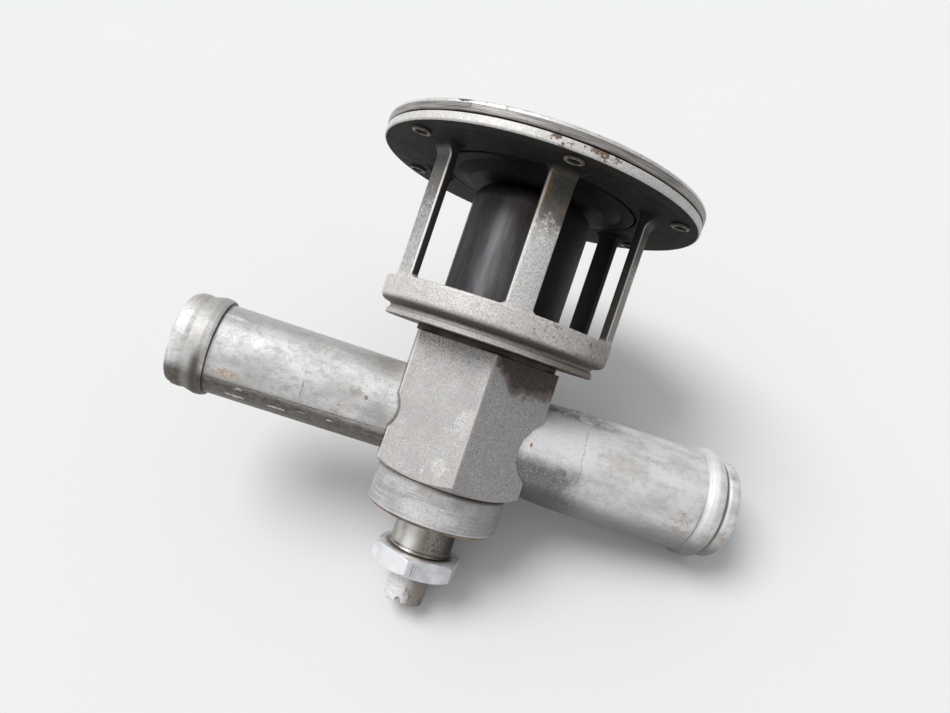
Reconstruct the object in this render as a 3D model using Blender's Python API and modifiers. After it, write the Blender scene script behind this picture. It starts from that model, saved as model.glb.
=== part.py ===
"""Pressure regulating valve for a hose line, built as its separate pieces.

A hexagon bar body carries two hose nipples. A turned cage with six window pillars is screwed on
its top, and a diaphragm is clamped under a riveted cover. The diaphragm guides an inverted cup,
which lifts off a rubber seat and lets air out through the windows. A pull spring holds the cup
down. An adjusting screw in the end cap sets its pull, and a thin nut locks the screw.

The origin is where the hose line crosses the main axis. +Z runs up to the cover, and +X runs out
of the larger nipple. All lengths are in metres.
"""

import math

import bmesh
import bpy
from mathutils import Vector

for old in list(bpy.data.objects):
    bpy.data.objects.remove(old, do_unlink=True)

MM = 0.001

# Clearances
SEAT_GAP = 0.25 * MM            # between faces that rest on each other
RUN_GAP = 0.25 * MM             # round a piece that turns, slides or screws in another
RIM_SEAM = 0.45 * MM            # open seam between the flange and the cover's rim

# Body, from hexagon bar
HEX_ACROSS_FLATS = 25.4 * MM
HEX_ABOVE_LINE = 14.3 * MM      # hexagon above the nipples' axis
LAND_BELOW_OUTLET = 0.175 * MM  # hexagon below the larger nipple
HEX_CHAMFER = math.radians(30)
CHAMFER_INSET = 0.15 * MM       # the chamfer starts this far inside the flats
NECK_STEP = 0.3 * MM            # the threaded neck is turned this much below the flats
NECK_PROUD = 0.8 * MM           # the neck stands this far above the cage's floor
BORE_LAND = 0.85 * MM           # wall between the bore and the seat's groove

# Hose nipples
INLET_RADIUS = 7.94 * MM
INLET_WALL = 1.3 * MM
INLET_REACH = 50.97 * MM        # from the main axis to the open end
OUTLET_RADIUS = 9.525 * MM
OUTLET_WALL = 1.4 * MM
OUTLET_REACH = 51.3 * MM
OUTLET_ROOT_STEP = 0.5 * MM     # the larger tube is drawn in this much at the body
OUTLET_ROOT_REACH = 22.0 * MM
BEAD_FROM_END = 6.6 * MM        # from the open end to the bead's shoulder
SPIGOT_STEP = 0.6 * MM          # the spigot in the body is turned this much below the tube
SPIGOT_DEPTH = 3.2 * MM         # how far the spigot reaches below the flats

# Cage
CAGE_GASKET_THICKNESS = 0.6 * MM
CAGE_RADIUS = 21.16 * MM
CAGE_FLOOR_THICKNESS = 3.2 * MM
CAGE_RING_HEIGHT = 6.47 * MM
LIP_RADIUS_STEP = 1.75 * MM     # the lower lip is this much smaller than the ring
LIP_HEIGHT = 0.9 * MM
GROOVE_DEPTH = 2.2 * MM         # hollow between the ring and the lip
WINDOW_HEIGHT = 22.66 * MM
PILLAR_COUNT = 6
PILLAR_WIDTH = 4.6 * MM
PILLAR_THICKNESS = 1.36 * MM
PILLAR_ROOT_FILLET = 2.2 * MM   # outside, where a pillar runs into the flange
WINDOW_TOP_FILLET = 1.3 * MM
WINDOW_FOOT_FILLET = 0.5 * MM
FLANGE_WIDTH = 8.16 * MM
FLANGE_THICKNESS = 1.45 * MM
FLANGE_LIP = 1.6 * MM           # the flange reaches this far inside the pillars
EDGE_ROUND = 0.4 * MM

# Cover and its rivets
COVER_OVERHANG = 0.1 * MM
COVER_HEIGHT = 1.6 * MM
COVER_SKIN = 0.9 * MM
COVER_RIM_WIDTH = 1.1 * MM
COVER_VENT_RADIUS = 0.8 * MM
COVER_VENT_OFFSET = 9.0 * MM
RIVET_INSET = 3.12 * MM
RIVET_RADIUS = 1.1 * MM
RIVET_HEAD_RADIUS = 2.1 * MM
RIVET_HEAD_HEIGHT = 0.7 * MM
RIVET_FLARE_RADIUS = 1.65 * MM
RIVET_FLARE_HEIGHT = 0.35 * MM
RIVET_HOLLOW_RADIUS = 0.75 * MM
RIVET_HOLLOW_DEPTH = 1.9 * MM

# Diaphragm and its plates
DIAPHRAGM_THICKNESS = 0.45 * MM
PLATE_CLEARANCE = 0.9 * MM      # round the lower plate in the flange
PLATE_THICKNESS = 0.55 * MM
PLATE_RIM_WIDTH = 2.0 * MM
PLATE_DISH = 1.1 * MM
PLATE_DISH_SLOPE = 2.5 * MM     # width of the sloping step of the dish
PLATE_RIM_DROP = 0.08 * MM      # the plate's rim hangs this far below the flange
UPPER_PLATE_INSET = 0.5 * MM

# Lifting cup and its seat
CUP_INSET = 1.5 * MM            # the cup is this much smaller than the body's neck
CUP_WALL = 0.9 * MM
CUP_SHOULDER = 3.0 * MM
SEAT_RING_WIDTH = 2.4 * MM
SEAT_RING_THICKNESS = 1.5 * MM
SEAT_RING_PROUD = 0.75 * MM

# Lift stud
STUD_RADIUS = 1.8 * MM
STUD_HEAD_RADIUS = 3.0 * MM
STUD_HEAD_DEPTH = 0.95 * MM
STUD_LENGTH = 16.85 * MM
STUD_EYE_RADIUS = 1.0 * MM
STUD_EYE_FROM_END = 2.1 * MM
STUD_NUT_ACROSS_FLATS = 6.4 * MM
STUD_NUT_HEIGHT = 2.6 * MM

# Regulating spring
WIRE_RADIUS = 0.45 * MM
COIL_RADIUS = 3.2 * MM
COIL_PITCH = 2.8 * MM
HOOK_CLEARANCE = 0.22 * MM
HOOK_RISE = 3.4 * MM            # from a hook's eye to the nearest coil

# End cap and screw bushing
COLLAR_STEP = 0.7 * MM          # the collar is this much smaller than the flats
COLLAR_HEIGHT = 7.0 * MM
COLLAR_CHAMFER = 1.3 * MM
COLLAR_CHAMFER_WIDTH = 0.6 * MM
CAP_SPIGOT_HEIGHT = 3.95 * MM
CAP_SPIGOT_WALL = 1.5 * MM
CAP_FLOOR_THICKNESS = 4.4 * MM
CAP_SEAL_RADIUS = 0.75 * MM     # half the O-ring's section
BUSHING_RADIUS = 5.66 * MM
BUSHING_SHANK_STEP = 0.66 * MM
BUSHING_NECK_LENGTH = 6.0 * MM
SCREW_SEAL_RADIUS = 0.45 * MM

# Adjusting screw, its lock nut and the spring's anchor
SCREW_RADIUS = 3.6 * MM
SCREW_TIP = 6.45 * MM           # stands below the lock nut
SCREW_TIP_CHAMFER = 0.5 * MM
SCREW_SLOT_WIDTH = 0.9 * MM
SCREW_SLOT_DEPTH = 1.1 * MM
SCREW_SLOT_TURN = math.radians(-21)
SCREW_JOURNAL_RADIUS = 2.4 * MM
SCREW_HEAD_RADIUS = 3.9 * MM
SCREW_HEAD_HEIGHT = 1.6 * MM
LOCK_NUT_ACROSS_FLATS = 14.7 * MM
LOCK_NUT_HEIGHT = 3.45 * MM
LOCK_NUT_TURN = math.radians(-15)
ANCHOR_WALL = 1.2 * MM
ANCHOR_FLOOR = 2.5 * MM
ANCHOR_HEIGHT = 8.35 * MM
ANCHOR_PLAY_BELOW = 3.15 * MM   # room under the anchor for the screw's travel
ANCHOR_PIN_RADIUS = 0.8 * MM
ANCHOR_PIN_FROM_TOP = 1.2 * MM

# Radii that follow
HEX_APOTHEM = HEX_ACROSS_FLATS / 2
NECK_RADIUS = HEX_APOTHEM - NECK_STEP
CUP_RADIUS = NECK_RADIUS - CUP_INSET
SEAT_MID_RADIUS = CUP_RADIUS - CUP_WALL / 2
SEAT_INNER = SEAT_MID_RADIUS - SEAT_RING_WIDTH / 2
SEAT_OUTER = SEAT_MID_RADIUS + SEAT_RING_WIDTH / 2
BODY_BORE = SEAT_INNER - SEAT_GAP - BORE_LAND
CAGE_INNER = CAGE_RADIUS - PILLAR_THICKNESS
FLANGE_RADIUS = CAGE_RADIUS + FLANGE_WIDTH
FLANGE_BORE = CAGE_INNER - FLANGE_LIP
COVER_RADIUS = FLANGE_RADIUS + COVER_OVERHANG
COVER_POCKET = COVER_RADIUS - COVER_RIM_WIDTH
COVER_PAN = FLANGE_BORE + RUN_GAP
RIVET_CIRCLE = FLANGE_RADIUS - RIVET_INSET
PLATE_RADIUS = FLANGE_BORE - PLATE_CLEARANCE
DISH_OUTER = PLATE_RADIUS - PLATE_RIM_WIDTH
DISH_INNER = DISH_OUTER - PLATE_DISH_SLOPE
DIAPHRAGM_RADIUS = COVER_POCKET - RUN_GAP
COLLAR_RADIUS = HEX_APOTHEM - COLLAR_STEP
CAP_SPIGOT_RADIUS = BODY_BORE - RUN_GAP
CAP_CAVITY = CAP_SPIGOT_RADIUS - CAP_SPIGOT_WALL
ANCHOR_RADIUS = CAP_CAVITY - RUN_GAP
SHANK_RADIUS = BUSHING_RADIUS - BUSHING_SHANK_STEP
SCREW_BORE = SCREW_RADIUS + RUN_GAP

# Heights that follow, from the body up
HEX_TOP = HEX_ABOVE_LINE
HEX_BOTTOM = -(OUTLET_RADIUS + LAND_BELOW_OUTLET)
CAGE_BOTTOM = HEX_TOP + SEAT_GAP + CAGE_GASKET_THICKNESS + SEAT_GAP
CAGE_FLOOR = CAGE_BOTTOM + CAGE_FLOOR_THICKNESS
RING_TOP = CAGE_BOTTOM + CAGE_RING_HEIGHT
FLANGE_UNDER = RING_TOP + WINDOW_HEIGHT
FLANGE_TOP = FLANGE_UNDER + FLANGE_THICKNESS
COVER_BASE = FLANGE_TOP + RIM_SEAM
COVER_TOP = COVER_BASE + COVER_HEIGHT
NECK_TOP = CAGE_FLOOR + NECK_PROUD
SEAT_TOP = NECK_TOP + SEAT_RING_PROUD
SEAT_BASE = SEAT_TOP - SEAT_RING_THICKNESS
CUP_BASE = SEAT_TOP + SEAT_GAP
PLATE_RIM = FLANGE_UNDER - PLATE_RIM_DROP
PLATE_CENTRE = PLATE_RIM - PLATE_DISH
CUP_TOP = PLATE_CENTRE - SEAT_GAP
RUBBER_CENTRE = PLATE_CENTRE + PLATE_THICKNESS + SEAT_GAP
RUBBER_SHELF = RUBBER_CENTRE + PLATE_DISH
RUBBER_RIM = FLANGE_TOP + SEAT_GAP
UPPER_PLATE = RUBBER_CENTRE + DIAPHRAGM_THICKNESS + SEAT_GAP
STUD_TOP = UPPER_PLATE + PLATE_THICKNESS
STUD_END = STUD_TOP - STUD_LENGTH
STUD_EYE = STUD_END + STUD_EYE_FROM_END

# Heights that follow, from the body down
COLLAR_TOP = HEX_BOTTOM - SEAT_GAP
COLLAR_BOTTOM = COLLAR_TOP - COLLAR_HEIGHT
CAP_TOP = COLLAR_TOP + CAP_SPIGOT_HEIGHT
CAP_FLOOR = COLLAR_BOTTOM + CAP_FLOOR_THICKNESS
BUSHING_SHOULDER = COLLAR_BOTTOM - SEAT_GAP
BUSHING_BOTTOM = BUSHING_SHOULDER - BUSHING_NECK_LENGTH
LOCK_NUT_TOP = BUSHING_BOTTOM - SEAT_GAP
LOCK_NUT_BOTTOM = LOCK_NUT_TOP - LOCK_NUT_HEIGHT
SCREW_END = LOCK_NUT_BOTTOM - SCREW_TIP
ANCHOR_BASE = CAP_FLOOR + ANCHOR_PLAY_BELOW
ANCHOR_TOP = ANCHOR_BASE + ANCHOR_HEIGHT
ANCHOR_PIN = ANCHOR_TOP - ANCHOR_PIN_FROM_TOP
SCREW_SHOULDER = ANCHOR_BASE - SEAT_GAP
SCREW_HEAD = ANCHOR_BASE + ANCHOR_FLOOR + SEAT_GAP

# Facets round a full turn
FINE = 36
MEDIUM = 28
SMALL = 18
TINY = 8


def new_collection(name):
    found = bpy.data.collections.get(name)
    if found is None:
        found = bpy.data.collections.new(name)
    if name not in bpy.context.scene.collection.children:
        bpy.context.scene.collection.children.link(found)
    return found


PARTS = new_collection("pressure_regulating_valve")
CUTTERS = new_collection("cutters")


def material(name, colour, roughness, metallic):
    made = bpy.data.materials.get(name) or bpy.data.materials.new(name)
    made.use_nodes = True
    shader = made.node_tree.nodes["Principled BSDF"]
    shader.inputs["Base Color"].default_value = (*colour, 1)
    shader.inputs["Roughness"].default_value = roughness
    shader.inputs["Metallic"].default_value = metallic
    return made


BAR_ALUMINIUM = material("bar_aluminium", (0.55, 0.53, 0.51), 0.55, 1.0)
TUBE_ALUMINIUM = material("tube_aluminium", (0.66, 0.65, 0.63), 0.38, 1.0)
DARK_ALUMINIUM = material("dark_anodised_aluminium", (0.10, 0.10, 0.10), 0.42, 1.0)
TURNED_STEEL = material("turned_steel", (0.62, 0.59, 0.55), 0.22, 1.0)
ZINC_STEEL = material("zinc_plated_steel", (0.72, 0.74, 0.77), 0.32, 1.0)
SPRING_STEEL = material("spring_steel", (0.42, 0.41, 0.40), 0.30, 1.0)
RUBBER = material("black_rubber", (0.03, 0.03, 0.03), 0.75, 0.0)


def arc(centre_r, centre_z, radius, start, end, steps):
    """Points on a quarter or other arc of a profile, angles in degrees from +r towards +z."""
    points = []
    for i in range(steps + 1):
        angle = math.radians(start + (end - start) * i / steps)
        points.append((centre_r + radius * math.cos(angle), centre_z + radius * math.sin(angle)))
    return points


def turned(name, profile, facets, collection=PARTS, closed=True):
    """A turned piece: (radius, height) points, down the outer side, spun about local Z."""
    mesh = bpy.data.meshes.new(name)
    count = len(profile)
    edges = [(i, i + 1) for i in range(count - 1)]
    if closed:
        edges.append((count - 1, 0))
    mesh.from_pydata([(r, 0, z) for r, z in profile], edges, [])
    piece = bpy.data.objects.new(name, mesh)
    collection.objects.link(piece)
    spin = piece.modifiers.new("spin", "SCREW")
    spin.axis = "Z"
    spin.angle = math.tau
    spin.steps = facets
    spin.render_steps = facets
    spin.use_merge_vertices = True
    spin.merge_threshold = 0.000001
    spin.use_smooth_shade = True
    return piece


def solid_turned(name, profile, facets, collection=PARTS):
    """A turned piece without a bore: the profile starts and ends on the axis."""
    return turned(name, profile, facets, collection, closed=False)


def hexagon(name, apothem, bottom, top, collection=CUTTERS):
    """A hexagonal bar with corners on the Y axis and flats facing +X and -X."""
    bpy.ops.mesh.primitive_cylinder_add(
        vertices=6, radius=apothem / math.cos(math.pi / 6), depth=top - bottom,
        location=(0, 0, (top + bottom) / 2))
    bar = bpy.context.object
    bar.name = name
    corner = max(bar.data.vertices, key=lambda vertex: vertex.co.y).co
    bar.rotation_euler.z = math.atan2(corner.x, corner.y)
    for owner in list(bar.users_collection):
        owner.objects.unlink(bar)
    collection.objects.link(bar)
    return bar


def as_cutter(piece):
    piece.hide_render = True
    piece.display_type = "WIRE"
    return piece


def boolean(piece, operation, tool):
    step = piece.modifiers.new(operation.lower(), "BOOLEAN")
    step.operation = operation
    step.solver = "EXACT"
    step.object = as_cutter(tool)


def finish(piece, look, parent=None):
    piece.data.materials.append(look)
    if parent is not None:
        piece.parent = parent
    return piece


def axis_empty(name, height):
    """An empty on the main axis that carries one moving group."""
    empty = bpy.data.objects.new(name, None)
    empty.location = (0, 0, height)
    PARTS.objects.link(empty)
    return empty


def place(piece, height, parent=None):
    """Puts a piece at a world height on the main axis, below its parent empty if it has one."""
    base = parent.location.z if parent is not None else 0
    piece.location.z = height - base
    return piece


VALVE_AXIS = axis_empty("valve_lift_axis", CUP_BASE)
CARRIAGE_AXIS = axis_empty("carriage_axis", ANCHOR_BASE)
SCREW_AXIS = axis_empty("screw_axis", SCREW_END)
NUT_AXIS = axis_empty("lock_nut_axis", LOCK_NUT_TOP)


def toward_x(piece, sign):
    """Lays a piece turned about local Z along +X or -X."""
    piece.rotation_euler.y = sign * math.pi / 2
    return piece


# Reach past a face that a cutter breaks through
OVERCUT = 1.0 * MM


def body_socket(name, radius, wall):
    """Cutter for one nipple: the spigot's socket and the air passage behind it."""
    socket = radius - SPIGOT_STEP + RUN_GAP
    passage = radius - wall - RUN_GAP / 2
    floor = HEX_APOTHEM - SPIGOT_DEPTH - SEAT_GAP
    mouth = HEX_APOTHEM / math.cos(math.pi / 6) + OVERCUT
    return solid_turned(name, [
        (0, mouth), (socket, mouth), (socket, floor), (passage, floor),
        (passage, BODY_BORE / 2), (0, BODY_BORE / 2)], MEDIUM, CUTTERS)


def make_valve_body():
    """Hexagon bar, turned down to a threaded neck on top and bored through."""
    reach = HEX_ACROSS_FLATS
    start = HEX_APOTHEM - CHAMFER_INSET
    body = solid_turned("valve_body", [
        (0, NECK_TOP), (NECK_RADIUS, NECK_TOP), (NECK_RADIUS, HEX_TOP),
        (reach, HEX_TOP), (reach, HEX_BOTTOM + (reach - start) * math.tan(HEX_CHAMFER)),
        (start, HEX_BOTTOM), (0, HEX_BOTTOM)], FINE)
    bar = hexagon("body_bar", HEX_APOTHEM, HEX_BOTTOM - OVERCUT, NECK_TOP + OVERCUT)
    boolean(body, "INTERSECT", bar)
    bore = solid_turned("body_bore", [
        (0, NECK_TOP + OVERCUT), (BODY_BORE, NECK_TOP + OVERCUT),
        (BODY_BORE, HEX_BOTTOM - OVERCUT), (0, HEX_BOTTOM - OVERCUT)], MEDIUM, CUTTERS)
    boolean(body, "DIFFERENCE", bore)
    groove_floor = SEAT_BASE - SEAT_GAP
    inner, outer = SEAT_INNER - SEAT_GAP, SEAT_OUTER + SEAT_GAP
    groove = turned("seat_groove", [
        (inner, NECK_TOP + OVERCUT), (outer, NECK_TOP + OVERCUT),
        (outer, groove_floor), (inner, groove_floor)], MEDIUM, CUTTERS)
    boolean(body, "DIFFERENCE", groove)
    inlet = toward_x(body_socket("inlet_socket", INLET_RADIUS, INLET_WALL), -1)
    boolean(body, "DIFFERENCE", inlet)
    outlet = toward_x(body_socket("outlet_socket", OUTLET_RADIUS, OUTLET_WALL), 1)
    boolean(body, "DIFFERENCE", outlet)
    return finish(body, BAR_ALUMINIUM)


def inlet_end(radius, reach):
    """The smaller nipple's end: a rolled lip, a shallow hollow and a sharp-backed bead."""
    bead = reach - BEAD_FROM_END
    return arc(radius - 0.45 * MM, reach - 0.75 * MM, 0.75 * MM, 90, 0, 4) + [
        (radius + 0.34 * MM, reach - 1.5 * MM), (radius + 0.36 * MM, reach - 2.2 * MM),
        (radius + 0.12 * MM, reach - 2.9 * MM), (radius + 0.2 * MM, reach - 3.7 * MM),
        (radius + 0.6 * MM, reach - 4.7 * MM), (radius + 0.8 * MM, bead + 0.7 * MM),
        (radius + 0.72 * MM, bead + 0.15 * MM), (radius + 0.5 * MM, bead), (radius, bead)]


def outlet_end(radius, reach):
    """The larger nipple's end: a thin lip, a sharp groove and a full rounded bead."""
    bead = reach - BEAD_FROM_END
    return arc(radius - 0.95 * MM, reach - 0.6 * MM, 0.6 * MM, 90, 0, 3) + [
        (radius - 0.25 * MM, reach - 1.5 * MM), (radius - 0.35 * MM, reach - 2.45 * MM),
        (radius - 0.1 * MM, reach - 2.75 * MM), (radius + 0.45 * MM, reach - 2.95 * MM),
        (radius + 0.8 * MM, reach - 3.8 * MM), (radius + 0.92 * MM, reach - 4.7 * MM),
        (radius + 0.85 * MM, reach - 5.5 * MM), (radius + 0.5 * MM, bead + 0.4 * MM),
        (radius + 0.12 * MM, bead), (radius, bead - 0.3 * MM)]


def drawn_root(radius):
    """The larger tube's outside near the body, drawn in by a smooth step."""
    length = OUTLET_ROOT_REACH - HEX_APOTHEM
    return [(radius - OUTLET_ROOT_STEP * (1 - math.cos(share * math.pi)) / 2,
             OUTLET_ROOT_REACH - share * length) for share in (0, 0.25, 0.5, 0.75, 1)]


def make_nipple(name, sign, radius, wall, reach, end_profile, root):
    """A hose nipple: a beaded tube whose inner end is coped over the hexagon's corners."""
    bore = radius - wall
    inside = BODY_BORE
    outside = end_profile(radius, reach) + root
    tube = turned(name, [(bore + 0.2 * MM, reach)] + outside + [
        (outside[-1][0], inside), (bore, inside), (bore, reach - 0.2 * MM)], MEDIUM)
    cope = hexagon(name + "_cope", HEX_APOTHEM + SEAT_GAP, -HEX_ACROSS_FLATS, HEX_ACROSS_FLATS)
    boolean(tube, "DIFFERENCE", cope)
    spigot_end = HEX_APOTHEM - SPIGOT_DEPTH
    overlap = HEX_APOTHEM + 3 * wall
    spigot = turned(name + "_spigot", [
        (bore + wall / 20, overlap), (radius - SPIGOT_STEP, overlap),
        (radius - SPIGOT_STEP, spigot_end), (bore + wall / 20, spigot_end)], MEDIUM, CUTTERS)
    toward_x(spigot, sign)
    boolean(tube, "UNION", spigot)
    toward_x(tube, sign)
    return finish(tube, TUBE_ALUMINIUM)


def window_cutter(index):
    """A wedge that opens the cage between two pillars with parallel sides."""
    half = PILLAR_WIDTH / 2
    spread = math.pi / PILLAR_COUNT
    apex = half / math.sin(spread)
    reach = CAGE_RADIUS + PILLAR_ROOT_FILLET + 2 * MM
    side = (reach - apex) * math.tan(spread)
    outline = bpy.data.curves.new(f"window_{index}", "CURVE")
    outline.dimensions = "2D"
    outline.fill_mode = "BOTH"
    outline.extrude = WINDOW_HEIGHT / 2
    line = outline.splines.new("POLY")
    line.points.add(2)
    for point, (x, y) in zip(line.points, ((apex, 0), (reach, -side), (reach, side))):
        point.co = (x, y, 0, 1)
    line.use_cyclic_u = True
    drawn = bpy.data.objects.new(f"window_{index}", outline)
    CUTTERS.objects.link(drawn)
    mesh = bpy.data.meshes.new_from_object(drawn.evaluated_get(bpy.context.evaluated_depsgraph_get()))
    cutter = bpy.data.objects.new(f"window_{index}_cutter", mesh)
    CUTTERS.objects.link(cutter)
    bpy.data.objects.remove(drawn, do_unlink=True)
    round_window_corners(mesh)
    cutter.location.z = RING_TOP + WINDOW_HEIGHT / 2
    cutter.rotation_euler.z = index * math.tau / PILLAR_COUNT
    return cutter


def round_window_corners(mesh):
    """Rounds the wedge's long edges, so that each pillar runs into ring and flange with a fillet."""
    shape = bmesh.new()
    shape.from_mesh(mesh)
    bmesh.ops.remove_doubles(shape, verts=shape.verts, dist=0.000001)
    for top, radius in ((True, WINDOW_TOP_FILLET), (False, WINDOW_FOOT_FILLET)):
        level = WINDOW_HEIGHT / 2 if top else -WINDOW_HEIGHT / 2
        edges = [edge for edge in shape.edges
                 if all(abs(vertex.co.z - level) < 1e-6 for vertex in edge.verts)
                 and abs(edge.verts[0].co.x - edge.verts[1].co.x) > 1e-6
                 and len(edge.link_faces) == 2
                 and edge.calc_face_angle() > 0.1]
        bmesh.ops.bevel(shape, geom=edges, offset=radius, segments=3, profile=0.5,
                        affect="EDGES", clamp_overlap=True)
    bmesh.ops.recalc_face_normals(shape, faces=shape.faces)
    shape.to_mesh(mesh)
    shape.free()


def rivet_places():
    """The six places on the rivet circle, each over a pillar."""
    for i in range(PILLAR_COUNT):
        angle = math.tau * (i + 0.5) / PILLAR_COUNT
        yield Vector((RIVET_CIRCLE * math.cos(angle), RIVET_CIRCLE * math.sin(angle), 0))


def rivet_holes(name, bottom, top):
    """Six drills in one cutter, for one of the plates that the rivets clamp."""
    mesh = bpy.data.meshes.new(name)
    shape = bmesh.new()
    for spot in rivet_places():
        made = bmesh.ops.create_cone(
            shape, cap_ends=True, segments=TINY, radius1=RIVET_RADIUS + RUN_GAP,
            radius2=RIVET_RADIUS + RUN_GAP, depth=top - bottom + 2 * OVERCUT)
        bmesh.ops.translate(shape, verts=made["verts"], vec=spot + Vector((0, 0, (top + bottom) / 2)))
    shape.to_mesh(mesh)
    shape.free()
    drills = bpy.data.objects.new(name, mesh)
    CUTTERS.objects.link(drills)
    return drills


def make_cage():
    """Turned cup with a rolled foot and a wide flange, milled out to six pillars."""
    lip = CAGE_RADIUS - LIP_RADIUS_STEP
    groove = CAGE_RADIUS - GROOVE_DEPTH
    lip_top = CAGE_BOTTOM + LIP_HEIGHT
    foot = CAGE_BOTTOM + 3.4 * MM
    hole = NECK_RADIUS + RUN_GAP
    fillet = PILLAR_ROOT_FILLET
    profile = [(FLANGE_BORE, FLANGE_TOP)]
    profile += arc(FLANGE_RADIUS - EDGE_ROUND, FLANGE_TOP - EDGE_ROUND, EDGE_ROUND, 90, 0, 2)
    profile += arc(FLANGE_RADIUS - EDGE_ROUND, FLANGE_UNDER + EDGE_ROUND, EDGE_ROUND, 0, -90, 2)
    profile += arc(CAGE_RADIUS + fillet, FLANGE_UNDER - fillet, fillet, 90, 180, 4)
    profile += [(CAGE_RADIUS, RING_TOP), (CAGE_RADIUS, foot)]
    profile += arc(CAGE_RADIUS - 1.3 * MM, foot, 1.3 * MM, -20, -75, 3)
    profile += [(groove, lip_top + 0.75 * MM), (groove + 0.1 * MM, lip_top + 0.45 * MM)]
    profile += [(lip - 0.3 * MM, lip_top + 0.1 * MM), (lip, lip_top), (lip + 0.05 * MM, CAGE_BOTTOM)]
    profile += [(hole, CAGE_BOTTOM), (hole, CAGE_FLOOR), (CAGE_INNER - 0.8 * MM, CAGE_FLOOR)]
    profile += [(CAGE_INNER, CAGE_FLOOR + 0.8 * MM), (CAGE_INNER, FLANGE_UNDER)]
    profile += [(FLANGE_BORE, FLANGE_UNDER)]
    cage = turned("cage", profile, FINE)
    for i in range(PILLAR_COUNT):
        boolean(cage, "DIFFERENCE", window_cutter(i))
    boolean(cage, "DIFFERENCE", rivet_holes("flange_drills", FLANGE_UNDER, FLANGE_TOP))
    return finish(cage, BAR_ALUMINIUM)


def make_cover_plate():
    """Shallow turned cover with a rounded edge, a pocket for the diaphragm and a vent hole."""
    pocket = COVER_TOP - (RUBBER_RIM + DIAPHRAGM_THICKNESS + SEAT_GAP)
    ceiling = COVER_TOP - COVER_SKIN
    edge = 2 * EDGE_ROUND
    profile = [(0, COVER_TOP)]
    profile += arc(COVER_RADIUS - edge, COVER_TOP - edge, edge, 90, 0, 4)
    profile += [(COVER_RADIUS, COVER_BASE), (COVER_POCKET, COVER_BASE)]
    profile += [(COVER_POCKET, COVER_TOP - pocket), (COVER_PAN, COVER_TOP - pocket)]
    profile += [(COVER_PAN - 0.3 * MM, ceiling), (0, ceiling)]
    cover = solid_turned("cover_plate", profile, FINE)
    vent = solid_turned("cover_vent", [
        (0, COVER_TOP + OVERCUT), (COVER_VENT_RADIUS, COVER_TOP + OVERCUT),
        (COVER_VENT_RADIUS, ceiling - OVERCUT), (0, ceiling - OVERCUT)], TINY, CUTTERS)
    vent.location.x = COVER_VENT_OFFSET
    vent.rotation_euler.z = math.pi / TINY
    boolean(cover, "DIFFERENCE", vent)
    boolean(cover, "DIFFERENCE", rivet_holes("cover_drills", COVER_BASE, COVER_TOP))
    return finish(cover, BAR_ALUMINIUM)


def dish_heights(centre, thickness):
    """Rising outline shared by the lower plate and the rubber over it, centre to shelf."""
    return [(DISH_INNER, centre), (DISH_OUTER, centre + PLATE_DISH)], thickness


def make_diaphragm():
    """Moulded rubber disc: flat clamped rim, short outer slope, shelf and dished centre."""
    thick = DIAPHRAGM_THICKNESS
    hole = STUD_RADIUS + RUN_GAP
    slope_in = PLATE_RADIUS - 0.4 * MM
    slope_out = FLANGE_BORE + 0.3 * MM
    steps = [(slope_out, RUBBER_RIM), (slope_in, RUBBER_SHELF), (DISH_OUTER, RUBBER_SHELF),
             (DISH_INNER, RUBBER_CENTRE)]
    top = [(r, z + thick) for r, z in reversed(steps)]
    profile = [(hole, RUBBER_CENTRE + thick)] + top
    profile += [(DIAPHRAGM_RADIUS, RUBBER_RIM + thick), (DIAPHRAGM_RADIUS, RUBBER_RIM)]
    profile += steps + [(hole, RUBBER_CENTRE)]
    rubber = turned("diaphragm", profile, MEDIUM)
    boolean(rubber, "DIFFERENCE",
            rivet_holes("rubber_drills", RUBBER_RIM, RUBBER_RIM + DIAPHRAGM_THICKNESS))
    return finish(rubber, RUBBER)


def make_lower_plate():
    """Pressed dish under the rubber. Its centre rests on the cup and its rim fills the flange."""
    thick = PLATE_THICKNESS
    dish = DISH_INNER, DISH_OUTER
    hole = STUD_RADIUS + RUN_GAP
    plate = turned("lower_diaphragm_plate", [
        (hole, thick), (dish[0], thick), (dish[1], PLATE_DISH + thick),
        (PLATE_RADIUS - 0.1 * MM, PLATE_DISH + thick), (PLATE_RADIUS, PLATE_DISH + thick - 0.1 * MM),
        (PLATE_RADIUS, PLATE_DISH), (dish[1], PLATE_DISH), (dish[0], 0), (hole, 0)], MEDIUM)
    place(plate, PLATE_CENTRE, VALVE_AXIS)
    return finish(plate, DARK_ALUMINIUM, VALVE_AXIS)


def make_upper_plate():
    """Flat disc over the rubber, countersunk for the stud's head."""
    outer = DISH_INNER - UPPER_PLATE_INSET
    taper = (STUD_HEAD_RADIUS - STUD_RADIUS) / STUD_HEAD_DEPTH
    mouth = STUD_HEAD_RADIUS + RUN_GAP
    plate = turned("upper_diaphragm_plate", [
        (mouth, PLATE_THICKNESS), (outer, PLATE_THICKNESS), (outer, 0),
        (mouth - taper * PLATE_THICKNESS, 0)], MEDIUM)
    place(plate, UPPER_PLATE, VALVE_AXIS)
    return finish(plate, ZINC_STEEL, VALVE_AXIS)


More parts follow.
